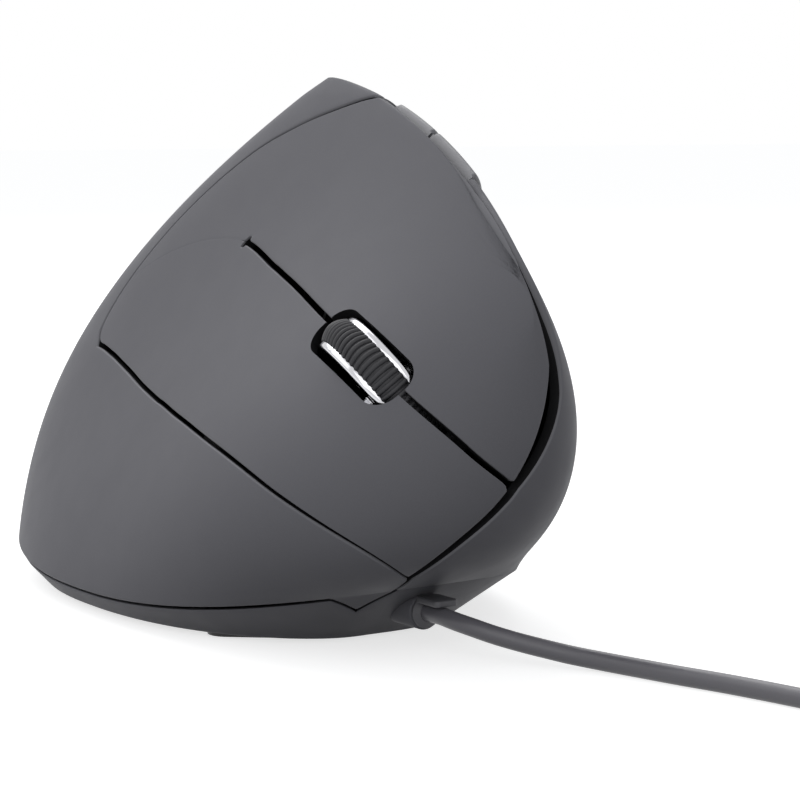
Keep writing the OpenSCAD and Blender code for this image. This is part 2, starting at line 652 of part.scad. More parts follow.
thumb_mid = [1, -13];
thumb_out = skin_normal(thumb_mid);
thumb_run = skin([button_x[2], thumb_mid[1]]) - skin([button_x[0], thumb_mid[1]]);
thumb_fore = unit(thumb_run - (thumb_run * thumb_out) * thumb_out);
thumb_up = cross(thumb_fore, thumb_out);
function from_thumb(v) = v[0] * thumb_up + v[1] * thumb_fore + v[2] * thumb_out;
function to_thumb(p) = let (d = p - skin(thumb_mid)) [d * thumb_up, d * thumb_fore, d * thumb_out];
module in_thumb() {
    o = skin(thumb_mid);
    multmatrix([[thumb_up[0], thumb_fore[0], thumb_out[0], o[0]],
                [thumb_up[1], thumb_fore[1], thumb_out[1], o[1]],
                [thumb_up[2], thumb_fore[2], thumb_out[2], o[2]]]) children();
}
forward_press = [6.5, -13];
back_press = [-4, -13];
forward_spot = to_thumb(skin(forward_press));
back_spot = to_thumb(skin(back_press));
thumb_tact = [4.4, 2.4];
thumb_board_z = -wall - 0.6 - plunger_h - thumb_tact[1];
thumb_board_t = 1;
thumb_post_at = [[-5.5, -21], [8.5, -21]];
thumb_tact_top = thumb_board_z + thumb_tact[1] + plunger_h;
module thumb_button(from, to, spot) {
    low = thumb_tact_top + 0.1;
    color(dark_color) {
        sheet(line([from, button_y[0]], [to, button_y[0]], 8), line([from, button_y[1]], [to, button_y[1]], 8),
            6, wall + button_proud, button_proud);
        in_thumb() translate([spot[0], spot[1], low]) cylinder(r = 1.4, h = spot[2] - wall / 2 - low);
    }
}
module forward_button() { thumb_button(button_x[1] + window_gap / 2, button_x[2], forward_spot); }
module back_button() { thumb_button(button_x[0], button_x[1] - window_gap / 2, back_spot); }
module thumb_post(q) {
    spot = to_thumb(skin(q));
    in_thumb() translate([spot[0], spot[1], thumb_board_z])
        cylinder(r = 2, h = spot[2] - wall / 2 - thumb_board_z);
}
module thumb_hole(q) {
    spot = to_thumb(skin(q));
    in_thumb() translate([spot[0], spot[1], thumb_board_z - 1]) cylinder(r = 0.85, h = 2.4);
}
module thumb_board() {
    color(board_color) in_thumb() translate([0, 0, thumb_board_z - thumb_board_t]) linear_extrude(thumb_board_t)
        difference() {
            translate([-9.5, -11]) square([12.5, 20.5]);
            for (q = thumb_post_at) translate([to_thumb(skin(q))[0], to_thumb(skin(q))[1]]) circle(0.9);
        }
}
module thumb_board_screws() {
    color(steel_color) in_thumb() for (q = thumb_post_at)
        translate([to_thumb(skin(q))[0], to_thumb(skin(q))[1], thumb_board_z - thumb_board_t - 0.9]) {
            cylinder(r = 1.7, h = 0.9);
            cylinder(r = 0.8, h = 2);
        }
}
module small_switch(spot) {
    s = thumb_tact[0];
    color(dark_color) in_thumb() difference() {
        translate([spot[0] - s / 2, spot[1] - s / 2, thumb_board_z]) cube([s, s, thumb_tact[1]]);
        translate([spot[0], spot[1], thumb_board_z + thumb_tact[1] - 1.2]) cylinder(r = 1.3, h = 3);
    }
}
module small_plunger(spot) {
    color("white") in_thumb()
        translate([spot[0], spot[1], thumb_tact_top - plunger_h - 0.3]) cylinder(r = 1.1, h = plunger_h + 0.3);
}
module forward_switch() { small_switch(forward_spot); }
module forward_plunger() { small_plunger(forward_spot); }
module back_switch() { small_switch(back_spot); }
module back_plunger() { small_plunger(back_spot); }

// Main board with the sensor, and the leads that join the boards

main_board_z = floor_top + 3;
board_x = [-18, 20];
board_y = [-42, 2];
board_post_at = [[-14, -38], [16, -38], [-14, -2], [16, -4]];
module main_board() {
    color(board_color) translate([0, 0, main_board_z]) linear_extrude(board_t) difference() {
        translate([board_x[0], board_y[0]]) square([board_x[1] - board_x[0], board_y[1] - board_y[0]]);
        for (p = board_post_at) translate(p) circle(screw_r + 0.1);
    }
}
module board_screws() {
    color(steel_color) for (p = board_post_at) translate([p[0], p[1], main_board_z + board_t]) {
        cylinder(r = 2, h = 1);
        translate([0, 0, -board_t - 2]) cylinder(r = screw_r - 0.25, h = board_t + 2.5);
    }
}
module sensor_lens() {
    color("white") translate([sensor_at[0], sensor_at[1], floor_top]) {
        linear_extrude(1) rounded_plan(lens_size[0], lens_size[1], 2);
        translate([0, 0, -0.9]) cylinder(r = 2.2, h = 1);
    }
}
module sensor_chip() {
    color(dark_color) translate([sensor_at[0] - 4.5, sensor_at[1] - 5.5, floor_top + 1.2])
        cube([9, 11, main_board_z - floor_top - 1.2]);
}
module controller_chip() {
    color(dark_color) translate([-5, -32, main_board_z + board_t]) cube([9, 9, 1.2]);
}
socket_at = [-4, -3];
module cable_socket() {
    color("white") translate([socket_at[0] - 5, socket_at[1] - 3, main_board_z + board_t]) difference() {
        cube([10, 6, 5]);
        translate([1, 1.2, 1]) cube([8, 6, 5]);
    }
}

// Flat lead: a strip of given width that follows a curve in a vertical plane
module flat_lead(p, x, width, thick) {
    steps = 16;
    curve = [for (i = [0:steps]) bezier(p, i / steps)];
    side = [for (i = [0:steps]) let (g = unit(curve[min(i + 1, steps)] - curve[max(i - 1, 0)])) thick / 2 * [-g[1], g[0]]];
    translate([x, 0, 0]) rotate([90, 0, 90]) linear_extrude(width, center = true) polygon(concat(
        [for (i = [0:steps]) curve[i] + side[i]],
        [for (i = [steps:-1:0]) curve[i] - side[i]]));
}
module key_ribbon() {
    top = wheel_middle + from_keys([6, frame_y[0] - 0.6, frame_z + board_t / 2]);
    low = [-12, main_board_z + board_t + 0.3];
    color("gray") flat_lead([low, low + [0, 8], [top[1] - 9, top[2] - 6], [top[1], top[2]]], top[0], 7, 0.6);
}
module thumb_ribbon() {
    top = skin(thumb_mid) + from_thumb([-8, -9, thumb_board_z - thumb_board_t - 0.4]);
    low = [-20, main_board_z + board_t + 0.3];
    color("gray") flat_lead([low, low + [0, 12], [top[1], top[2] - 12], [top[1], top[2]]], top[0] + 3.2, 6, 0.6);
}

// Cable: a moulded relief, the lead on the table, a coil with its tie, and the plug

flange_r = collar_r - 0.25;
flange_t = 0.4;
relief_seat = exit_at[1] + 0.05;
relief_face = relief_seat + 2 * flange_t;
relief_back = exit_at[1] - 14.6;
module strain_relief() {
    color(dark_color) translate([exit_at[0], 0, exit_at[2]]) {
        rotate([-90, 0, 0]) rotate_extrude() polygon([
            [0, relief_back], [relief_r, relief_back], [relief_r, relief_seat], [flange_r, relief_seat],
            [flange_r, relief_seat + flange_t], [cable_d / 2 + 0.25, relief_face], [0, relief_face]]);
        relief_hood();
    }
}
// A flat tongue of the flange that reaches over the cable
module relief_hood() {
    hood = [3.5, 5.2, 0.9];
    translate([0, relief_seat + hood[1] / 2, flange_r + 0.05 - hood[2]])
        linear_extrude(hood[2]) rounded_plan(hood[0], hood[1], 0.7);
}
function swept(route, r, sides, from = 0) =
    [for (i = [0:len(route) - 1])
        let (g = unit(route[min(i + 1, len(route) - 1)] - route[max(i - 1, 0)]),
             flat = unit(cross(g, [0, 0, 1])),
             up = cross(flat, g))
        for (k = [0:sides - 1]) route[i] + r * (cos(360 * k / sides) * flat + sin(360 * k / sides) * up)];
module tube(route, r, sides) {
    n = len(route);
    ends = [route[0], route[n - 1]];
    polyhedron(concat(swept(route, r, sides), ends), concat(
        [for (k = [0:sides - 1]) [n * sides, (k + 1) % sides, k]],
        [for (i = [0:n - 2]) for (k = [0:sides - 1])
            let (a = i * sides + k, b = i * sides + (k + 1) % sides)
            each [[a, b, a + sides], [b, b + sides, a + sides]]],
        [for (k = [0:sides - 1]) [n * sides + 1, (n - 1) * sides + k, (n - 1) * sides + (k + 1) % sides]]));
}
module inner_lead() {
    start = [exit_at[0], relief_back, exit_at[2]];
    end = [socket_at[0], socket_at[1] + 3.2, main_board_z + board_t + 2.6];
    pull = 12;
    bend = [start - [0, 2.4, 0], start - [0, pull, 0], end + [0, pull, 0], end + [0, 2.4, 0]];
    color(dark_color) tube(concat([start], [for (i = [0:14]) bezier(bend, i / 14)], [end]), 1.2, 8);
}
tie_t = 0.6;
coil_step = cable_d + 0.5;
coil_low = tie_t + cable_d / 2 + 0.1;
// Climbing to the next layer takes half a turn, at the inner or the outer side of the coil
climb_turns = 0.5;
layer_turns = coil_turns + climb_turns;
coil_all = coil_layers * layer_turns - climb_turns;
coil_outer = coil_inner + coil_step * layer_turns;
coil_rise = coil_step * (coil_layers - 1);
coil_middle = [-35.2, 124];
plug_size = [12.5, 24, 7.6];
// The lead's route on the table, from the relief to the coil's outer turn; both ends stay straight
coil_start = coil_point(0);
lead_points = [[4.5, 46.5, 5.2], [4.2, 49.3, 4.9], [3.3, 51.8, 4.45], [1.6, 54.3, 3.7], [-0.7, 56.7, 2.9],
    [-2.9, 59.2, 2.25], [-5, 62, 1.7], [-7, 65.6, 1.35], [-8.7, 70.5, 1.2], [-10.3, 77, 1.2], [-12, 83, 1.2],
    [-13.4, 89, 1.2], [-14.6, 95, 1.2], [-15.4, 102, 1.4], [-15.8, 110, 1.7], coil_start - [0, 2 * cable_d, 0]];
function lead_route(n) = concat([[exit_at[0], relief_face, exit_at[2]]],
    [for (i = [0:n]) through(lead_points, i / n)], [coil_start - [0, cable_d, 0]]);
// The coil winds in on the table, climbs, winds out, climbs and so on, and ends outside on its top layer
coil_loop_rings = 24;
function climbed(t, layer) =
    let (f = min(max((t - layer * layer_turns) / climb_turns + 1, 0), 1))
    f * f * (3 - 2 * f);
function sum(list, i = 0) = i == len(list) ? 0 : list[i] + sum(list, i + 1);
function coil_point(t) =
    let (r = coil_inner + coil_step * abs((t + climb_turns / 2) % (2 * layer_turns) - layer_turns),
         z = coil_low + coil_step * sum([for (k = [1:coil_layers - 1]) climbed(t, k)]))
    [coil_middle[0] + r * cos(360 * t), coil_middle[1] + r * sin(360 * t), z];
coil_count = round(coil_all * coil_loop_rings);
coil_path = [for (i = [0:coil_count]) coil_point(coil_all * i / coil_count)];
// Least gap of the coil to itself, measured between points more than half a turn apart
coil_gap = min([for (i = [0:2:coil_count]) for (j = [i + coil_loop_rings / 2:coil_count])
    norm(coil_path[i] - coil_path[j])]) - cable_d;
echo(coil_gap = coil_gap);
module cable_lead() {
    color(dark_color) tube(lead_route(42), cable_d / 2, 8);
}
module cable_coil() {
    color(dark_color) tube(concat([coil_start - [0, cable_d, 0]], coil_path, tail_route), cable_d / 2, 6);
}
// The tail drops from the coil's top layer to the plug, and ends straight
coil_end = coil_path[coil_count];
tail_drop = coil_low + coil_rise - plug_size[2] / 2;
tail_route = concat([for (i = [1:7]) through([coil_end, coil_end + [0, -9, -0.2 * tail_drop],
    coil_end + [-1, -20, -0.9 * tail_drop], coil_end + [-1, -27, -tail_drop]], i / 7)],
    [coil_end + [-1, -27 - cable_d, -tail_drop]]);
plug_at = tail_route[7];
module cable_tie() {
    mid_r = (coil_inner + coil_outer) / 2;
    w = coil_outer - coil_inner + cable_d + 1;
    h = coil_rise + cable_d + 0.6;
    color(dark_color) translate([coil_middle[0], coil_middle[1] + mid_r, tie_t + h / 2]) rotate([90, 0, 90])
        linear_extrude(5, center = true) difference() {
            rounded_plan(w + 2 * tie_t, h + 2 * tie_t, 2.4);
            rounded_plan(w, h, 1.8);
        }
}
module usb_plug() {
    color(dark_color) translate([plug_at[0], plug_at[1], plug_at[2]]) rotate([90, 0, 0]) {
        linear_extrude(plug_size[1]) rounded_plan(plug_size[0], plug_size[2], 1.6);
    }
}
module usb_shield() {
    shield = [12, 4.5, 12];
    sheet_t = 0.4;
    color(steel_color) translate([plug_at[0], plug_at[1] - plug_size[1], plug_at[2]]) rotate([90, 0, 0]) {
        linear_extrude(shield[2]) difference() {
            rounded_plan(shield[0], shield[1], 0.6);
            rounded_plan(shield[0] - 2 * sheet_t, shield[1] - 2 * sheet_t, 0.3);
        }
        translate([-shield[0] / 2 + sheet_t, 0.1, 0]) cube([shield[0] - 2 * sheet_t, shield[1] / 2 - sheet_t - 0.1, shield[2] - 1]);
    }
}

base_tray();
main_shell();
thumb_shell();
button_panel();
left_button();
right_button();
scroll_wheel();
wheel_tyre();
wheel_carriage();
scroll_encoder();
inner_frame();
key_board();
left_switch();
left_plunger();
right_switch();
right_plunger();
wheel_switch();
wheel_plunger();
forward_button();
back_button();
thumb_board();
forward_switch();
forward_plunger();
back_switch();
back_plunger();
main_board();
sensor_chip();
sensor_lens();
controller_chip();
cable_socket();
key_ribbon();
thumb_ribbon();
inner_lead();
strain_relief();
base_screws();
board_screws();
key_board_screws();
thumb_board_screws();
glide_feet();
cable_lead();
cable_coil();
cable_tie();
usb_plug();
usb_shield();
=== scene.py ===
# %% [markdown]
# # A vertical mouse, dressed for its picture
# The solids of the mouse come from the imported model, each on the body that moves it. This lesson lays smooth
# mouldings, a ribbed wheel, a cable and finishes over them. Everything stays in the model's own frame, in metres:
# X to the finger side, Y to the nose, Z up. Sizes are written in millimetres and scaled once, when a mesh is made.

# %% Load the frame
import json
import math
import bpy
import numpy as np
from mathutils import Euler, Matrix, Vector


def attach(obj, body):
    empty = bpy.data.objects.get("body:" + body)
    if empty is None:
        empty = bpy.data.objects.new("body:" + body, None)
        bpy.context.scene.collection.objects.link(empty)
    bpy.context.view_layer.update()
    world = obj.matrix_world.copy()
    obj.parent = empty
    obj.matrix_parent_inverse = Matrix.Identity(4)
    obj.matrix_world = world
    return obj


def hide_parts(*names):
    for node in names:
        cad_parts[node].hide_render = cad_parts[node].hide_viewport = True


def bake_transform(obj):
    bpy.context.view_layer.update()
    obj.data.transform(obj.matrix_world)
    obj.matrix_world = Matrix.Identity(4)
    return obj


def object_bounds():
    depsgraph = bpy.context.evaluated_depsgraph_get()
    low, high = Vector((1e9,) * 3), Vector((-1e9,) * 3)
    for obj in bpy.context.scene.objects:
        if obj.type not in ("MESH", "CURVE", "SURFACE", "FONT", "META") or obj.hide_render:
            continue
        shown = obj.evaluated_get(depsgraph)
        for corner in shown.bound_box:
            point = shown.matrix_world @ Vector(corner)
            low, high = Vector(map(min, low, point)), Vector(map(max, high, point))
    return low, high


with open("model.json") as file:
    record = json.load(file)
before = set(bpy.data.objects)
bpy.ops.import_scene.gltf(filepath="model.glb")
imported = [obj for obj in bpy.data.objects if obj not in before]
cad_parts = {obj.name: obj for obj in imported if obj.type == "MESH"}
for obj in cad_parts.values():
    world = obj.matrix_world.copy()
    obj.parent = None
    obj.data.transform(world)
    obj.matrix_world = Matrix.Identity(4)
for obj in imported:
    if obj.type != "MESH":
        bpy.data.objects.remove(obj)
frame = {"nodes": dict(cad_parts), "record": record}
cad_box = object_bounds()
scene = bpy.context.scene
scene.view_settings.view_transform = "Standard"
MM = 0.001

# %% [markdown]
# ## Camera
# The picture was taken from the nose side, a little above the table, with a long lens. A camera could be placed by
# eye, but here its angles come from laying the body's outline over the picture's outline. The lens follows from
# the distance and from how many pixels of the 800 one millimetre takes at the mouse.

# %% Camera
PIXELS_PER_MM, PICTURE_PIXELS, CAMERA_DISTANCE, SENSOR = 6.87, 800, 388.1, 36
CAMERA_AIM = Vector((-16.07, 4.03, 28.15)) * MM


def direction(azimuth, elevation):
    """Direction from the mouse to an eye or a lamp, by its angles in degrees."""
    a, e = math.radians(azimuth), math.radians(elevation)
    return Vector((math.sin(a) * math.cos(e), -math.cos(a) * math.cos(e), math.sin(e)))


away = direction(147.56, 6.2)
camera = bpy.data.objects.new("camera", bpy.data.cameras.new("camera"))
camera.data.sensor_fit = "HORIZONTAL"
camera.data.sensor_width = SENSOR
camera.data.lens = SENSOR * PIXELS_PER_MM * CAMERA_DISTANCE / PICTURE_PIXELS
camera.data.clip_start = 0.01
camera.location = CAMERA_AIM + CAMERA_DISTANCE * MM * away
camera.rotation_euler = away.to_track_quat("Z", "Y").to_euler()
scene.collection.objects.link(camera)
scene.camera = camera
print("lens", round(camera.data.lens, 1), "mm, eye at", [round(x, 3) for x in camera.location])

# %% [markdown]
# ## Mesh helpers
# Most pieces are rings of points with a skin over them. A lathe turns a profile round an axle, a tube follows a line
# and a prism stands on an outline. Blender's own curve and screw tools could make these shapes too, but plain points
# keep every size exact. Faces that meet at a gentle angle are shaded smooth and sharper edges stay crisp.

# %% Mesh helpers
CRISP = 50


def new_piece(name, points, faces, sharp=40):
    """A new object from points in millimetres and faces that point outwards."""
    mesh = bpy.data.meshes.new(name)
    mesh.from_pydata((np.asarray(points, float) * MM).tolist(), [], [[int(i) for i in f] for f in faces])
    mesh.polygons.foreach_set("use_smooth", [True] * len(mesh.polygons))
    mesh.set_sharp_from_angle(angle=math.radians(sharp))
    piece = bpy.data.objects.new(name, mesh)
    scene.collection.objects.link(piece)
    return piece


def unit(v):
    v = np.asarray(v, float)
    return v / np.linalg.norm(v, axis=-1, keepdims=True)


def loft(name, rings, sharp=40, loop=False, flip=False):
    """A skin over rings of points. It has flat ends, unless it is a loop whose last ring joins the first."""
    rings = np.asarray(rings, float)
    k = np.arange(rings[..., 0].size).reshape(rings.shape[:2])
    rows = np.concatenate([k, k[:1]]) if loop else k
    ahead = np.roll(rows, -1, axis=1)
    faces = np.stack([rows[:-1], ahead[:-1], ahead[1:], rows[1:]], -1).reshape(-1, 4).tolist()
    if not loop:
        faces += [k[0, ::-1].tolist(), k[-1].tolist()]
    if flip:
        faces = [[f[0], *f[:0:-1]] for f in faces]
    return new_piece(name, rings.reshape(-1, 3), faces, sharp)


def lathe(name, profile, origin, axle, sides=96, ring=False):
    """Turns (radius, height) points round an axle. A ring's profile is a closed loop, others get flat ends."""
    axle = unit(axle)
    first = unit(np.cross(axle, [0.3, 0.5, 0.8]))
    second = np.cross(axle, first)
    turn = np.linspace(0, 2 * np.pi, sides, endpoint=False)
    circle = np.cos(turn)[:, None] * first + np.sin(turn)[:, None] * second
    return loft(name, [np.asarray(origin) + h * axle + r * circle for r, h in profile], loop=ring)


def arc(middle, radius, start, stop, count=6):
    """Points of an arc in a profile, with angles in degrees."""
    a = np.radians(np.linspace(start, stop, count))
    return np.stack([middle[0] + radius * np.cos(a), middle[1] + radius * np.sin(a)], -1)


def tube(name, line, radius, sides):
    """A round tube along a line of points, closed at both ends."""
    line = np.asarray(line, float)
    along = unit(np.gradient(line, axis=0))
    flat = unit(np.cross(along, [0, 0, 1]))
    up = np.cross(flat, along)
    turn = np.linspace(0, 2 * np.pi, sides, endpoint=False)
    ring = np.cos(turn)[None, :, None] * flat[:, None] + np.sin(turn)[None, :, None] * up[:, None]
    return loft(name, line[:, None] + radius * ring, 60, flip=True)


def smooth_line(points, t):
    """A smooth curve through all the points, read at shares t, where every point is the same share further."""
    p = np.asarray(points, float)
    n = len(p) - 1
    t = np.atleast_1d(np.asarray(t, float))
    k = np.minimum(np.floor(t * n).astype(int), n - 1)
    f = (t * n - k)[:, None]
    b, c = p[k], p[k + 1]
    m0 = np.where((k == 0)[:, None], c - b, (c - p[np.maximum(k - 1, 0)]) / 2)
    m1 = np.where((k == n - 1)[:, None], c - b, (p[np.minimum(k + 2, n)] - b) / 2)
    return ((2 * f**3 - 3 * f**2 + 1) * b + (f**3 - 2 * f**2 + f) * m0
            + (3 * f**2 - 2 * f**3) * c + (f**3 - f**2) * m1)


def rounded_outline(x, y, r, count=13):
    """Points of a rectangle with round corners, anticlockwise."""
    corners = [arc((sx * (x / 2 - r), sy * (y / 2 - r)), r, a, a + 90, count)
               for sx, sy, a in ((1, 1, 0), (-1, 1, 90), (-1, -1, 180), (1, -1, 270))]
    return np.concatenate(corners)


def prism(name, outline, low, high, place):
    """A prism on an outline between two heights, moved to its place."""
    return loft(name, [place(np.column_stack([outline, np.full(len(outline), z)])) for z in (low, high)])


def soft_block(name, size, corner, low, high, soft, place):
    """A block on a rounded outline, whose upper and lower edges are rounded too."""
    turn = np.radians([0, 30, 60, 90])
    rows = [(soft * (1 - math.sin(a)), low + soft * (1 - math.cos(a))) for a in turn]
    rows += [(soft * (1 - math.sin(a)), high - soft * (1 - math.cos(a))) for a in turn[::-1]]
    outlines = [(rounded_outline(size[0] - 2 * inset, size[1] - 2 * inset, corner - inset), z) for inset, z in rows]
    return loft(name, [place(np.column_stack([line, np.full(len(line), z)])) for line, z in outlines], CRISP)


def keep_result(piece):
    """Keeps the result of a piece's modifiers as its plain mesh."""
    mesh = bpy.data.meshes.new_from_object(piece.evaluated_get(bpy.context.evaluated_depsgraph_get()))
    piece.modifiers.clear()
    piece.data = mesh


def cut_away(piece, *cutters):
    """Cuts the cutters out of a piece and removes them."""
    for cutter in cutters:
        cut = piece.modifiers.new("cut", "BOOLEAN")
        cut.operation, cut.solver, cut.object = "DIFFERENCE", "EXACT", cutter
    keep_result(piece)
    piece.data.set_sharp_from_angle(angle=math.radians(CRISP))
    for cutter in cutters:
        bpy.data.objects.remove(cutter)
    print(piece.name, "has", len(piece.data.polygons), "faces after the cut")


# %% [markdown]
# ## Cable
# The cable is a fixed length of round jacket. It leaves the relief straight, sinks to the table and runs out of the
# picture; the length that the picture doesn't show is wound beside the mouse in four flat layers and ends in a plug.
# Its route is worked out first, from a few points of the lead and a formula for the coil.

# %% Cable route
CABLE_D = 2.4
EXIT_AT = np.array([4.5, 42.6, 5.2])
RELIEF_FACE = EXIT_AT + [0, 0.85, 0]
COIL_INNER, COIL_STEP, COIL_LAYERS, COIL_TURNS, CLIMB_TURNS = 7.0, CABLE_D + 0.5, 4, 4, 0.5
LAYER_TURNS = COIL_TURNS + CLIMB_TURNS
COIL_ALL = COIL_LAYERS * LAYER_TURNS - CLIMB_TURNS
COIL_LOW = 0.6 + CABLE_D / 2 + 0.1
COIL_MIDDLE = np.array([-35.2, 124.0])
PLUG_SIZE = (12.5, 24.0, 7.6)


def coil_line(t):
    """Winds in on the table, climbs, winds out, climbs and so on, and ends outside on the top layer."""
    r = COIL_INNER + COIL_STEP * np.abs((t + CLIMB_TURNS / 2) % (2 * LAYER_TURNS) - LAYER_TURNS)
    climb = np.clip((t - np.arange(1, COIL_LAYERS)[:, None] * LAYER_TURNS) / CLIMB_TURNS + 1, 0, 1)
    layer = (climb**2 * (3 - 2 * climb)).sum(0)
    turn = 2 * np.pi * t
    return np.stack([COIL_MIDDLE[0] + r * np.cos(turn), COIL_MIDDLE[1] + r * np.sin(turn),
                     COIL_LOW + COIL_STEP * layer], -1)


coil = coil_line(np.linspace(0, COIL_ALL, round(COIL_ALL * 36) + 1))
coil_start = coil[0]
lead_points = [[4.5, 46.5, 5.2], [4.2, 49.3, 4.9], [3.3, 51.8, 4.45], [1.6, 54.3, 3.7], [-0.7, 56.7, 2.9],
               [-2.9, 59.2, 2.25], [-5, 62, 1.7], [-7, 65.6, 1.35], [-8.7, 70.5, 1.2], [-10.3, 77, 1.2],
               [-12, 83, 1.2], [-13.4, 89, 1.2], [-14.6, 95, 1.2], [-15.4, 102, 1.4], [-15.8, 110, 1.7],
               coil_start - [0, 2 * CABLE_D, 0]]
tail_drop = coil[-1][2] - PLUG_SIZE[2] / 2
tail_points = [coil[-1], coil[-1] + [0, -9, -0.2 * tail_drop], coil[-1] + [-1, -20, -0.9 * tail_drop],
               coil[-1] + [-1, -27, -tail_drop]]
plug_at = coil[-1] + [-1, -27 - CABLE_D, -tail_drop]
cable_route = np.concatenate([[RELIEF_FACE], smooth_line(lead_points, np.linspace(0, 1, 85)),
                              [coil_start - [0, CABLE_D, 0]], coil,
                              smooth_line(tail_points, np.linspace(0, 1, 13))[1:], [plug_at]])

# %% [markdown]
# A curve object with a bevel would do for the jacket, but a tube of plain rings on the solid's own route keeps the
# picture and the solid in the same place.

# %% Cable tube
cable = tube("cable", cable_route, CABLE_D / 2, 24)
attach(cable, "mouse_body")
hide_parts("cable_lead", "cable_coil")
print("cable tube:", len(cable.data.polygons), "faces")

# %% [markdown]
# ## The skin of the body
# The outside is one smooth dome with a ridge. At every turn round the body a rib climbs from the waist, where the
# shells meet the base, to the ridge, and each rib is a Bezier curve. Sculpting or subdividing a cage could give a
# similar dome, but a formula keeps every moulding on one shared surface, so seams run flush without fitting.

# %% Skin formulas
WAIST_FRONT, WAIST_REAR, FINGER_HALF, THUMB_HALF = 45.0, 59.4, 30.5, 31.5
WAIST_SHIFT, WAIST_BEND, WAIST_TAPER, WAIST_ROUND = 0.9, 3.5, (-0.04, -0.12), 0.88
WAIST_Z = (9, 3.5, 9, 5)
RIDGE = np.array([[-3, 56, 44], [-7.5, 44.5, 62.5], [-9.5, -1, 76.5], [-9, -4.5, 75]], float)
CREST_BANK, CREST_REACH = math.radians(37), (4.5, 3.5)
RIB_LEAN, RIB_RISE = (72, -8, 12, -39), (26, 26, 34.5, 24)
THUMB_SWELL, SWELL_AT, SWELL_TURN, SWELL_HALF = 5.0, 0.75, -105, 60
BASE_INSET, BASE_Z, BASE_SHARE = (12, 2, 11, 4.5), 0.6, 0.15
PATTERN_FOCUS, PATTERN_SPREAD = 35.0, 1.5


def around(u, v):
    """A value that runs smoothly round the body through its front, finger, rear and thumb values."""
    return (sum(v) / 4 + (v[0] - v[2]) / 2 * np.cos(u) + (v[1] - v[3]) / 2 * np.sin(u)
            + (v[0] + v[2] - v[1] - v[3]) / 4 * np.cos(2 * u))


def waist(u):
    s, c = np.sin(u), np.cos(u)
    half = np.where(s > 0, FINGER_HALF, THUMB_HALF)
    taper = np.where(s > 0, WAIST_TAPER[0], WAIST_TAPER[1])
    x = WAIST_SHIFT + half * np.sign(s) * np.abs(s)**WAIST_ROUND * (1 + taper * c) + WAIST_BEND * c
    y = ((WAIST_FRONT - WAIST_REAR) / 2
         + (WAIST_FRONT + WAIST_REAR) / 2 * np.sign(c) * np.abs(c)**WAIST_ROUND)
    return np.stack([x, y, around(u, WAIST_Z)], -1)


def outward(u):
    step = waist(u + math.radians(0.5)) - waist(u - math.radians(0.5))
    return unit(np.stack([-step[..., 1], step[..., 0], 0 * step[..., 0]], -1))


def base_edge(u):
    edge = waist(u) - around(u, BASE_INSET)[..., None] * outward(u)
    edge[..., 2] = BASE_Z
    return edge


def bezier(a, b, c, d, t):
    return (1 - t)**3 * a + 3 * t * (1 - t)**2 * b + 3 * t**2 * (1 - t) * c + t**3 * d


def skin_at(u, v):
    """The point of the skin at turn u and height v: 0 at the waist, 1 at the ridge, negative on the base."""
    w = waist(u)
    s = ((1 - np.cos(u)) / 2)[..., None]
    ridge = bezier(*RIDGE, s)
    along = -unit((1 - s)**2 * (RIDGE[1] - RIDGE[0]) + 2 * s * (1 - s) * (RIDGE[2] - RIDGE[1])
                  + s**2 * (RIDGE[3] - RIDGE[2]))
    tilt = np.array([math.cos(CREST_BANK), 0, -math.sin(CREST_BANK)])
    across = unit(tilt - (along @ tilt)[..., None] * along)
    mean = sum(CREST_REACH) / 2
    reach = around(u, (mean, CREST_REACH[0], mean, CREST_REACH[1]))
    lean = np.radians(around(u, RIB_LEAN))
    climb = np.sin(lean)[..., None] * outward(u) + np.stack([0 * u, 0 * u, np.cos(lean)], -1)
    t = np.clip(v, 0, 1)[..., None]
    dome = bezier(w, w + around(u, RIB_RISE)[..., None] * climb,
                  ridge + (reach * np.sin(u))[..., None] * across, ridge, t)
    turn = np.abs((np.degrees(u) - SWELL_TURN + 540) % 360 - 180)
    height = (t[..., 0] / SWELL_AT)**6 * ((1 - t[..., 0]) / (1 - SWELL_AT))**2
    swell = THUMB_SWELL * height * np.cos(np.radians(90 * turn / SWELL_HALF))**2
    dome[..., 0] -= np.where(turn < SWELL_HALF, swell, 0)
    wall = w + (base_edge(u) - w) * (np.minimum(v, 0) / -BASE_SHARE)[..., None]
    return np.where((v < 0)[..., None], wall, dome)


# %% [markdown]
# The dome unrolls on to a flat pattern in which the ridge is a straight line and the waist an oval round it.
# Seams are drawn on that pattern, as a cutter would draw them on cloth, and then laid on the dome.

# %% Flat pattern
FACE_REACH, WALL_REACH, LEVEL_UNDER = 0.6, 8, 0.12


def to_turn(q):
    """Turn and height of a point of the flat pattern."""
    x, y = q[..., 0] / PATTERN_FOCUS, q[..., 1] / PATTERN_FOCUS
    a, b = np.hypot(x + 1, y), np.hypot(x - 1, y)
    return (np.arccos(np.clip((a - b) / 2, -1, 1)) * np.where(y < 0, -1, 1),
            1 - np.arccosh(np.maximum((a + b) / 2, 1)) / PATTERN_SPREAD)


def to_pattern(u, v):
    spread = PATTERN_SPREAD * (1 - v)
    return PATTERN_FOCUS * np.stack([np.cosh(spread) * np.cos(u), np.sinh(spread) * np.sin(u)], -1)


def skin(q):
    return skin_at(*to_turn(np.asarray(q, float)))


def skin_normal(q, reach):
    """Outward direction of the skin, taken over a reach of the pattern."""
    q = np.asarray(q, float)
    dx, dy = np.array([reach, 0]), np.array([0, reach])
    return unit(np.cross(skin(q + dy) - skin(q - dy), skin(q + dx) - skin(q - dx)))


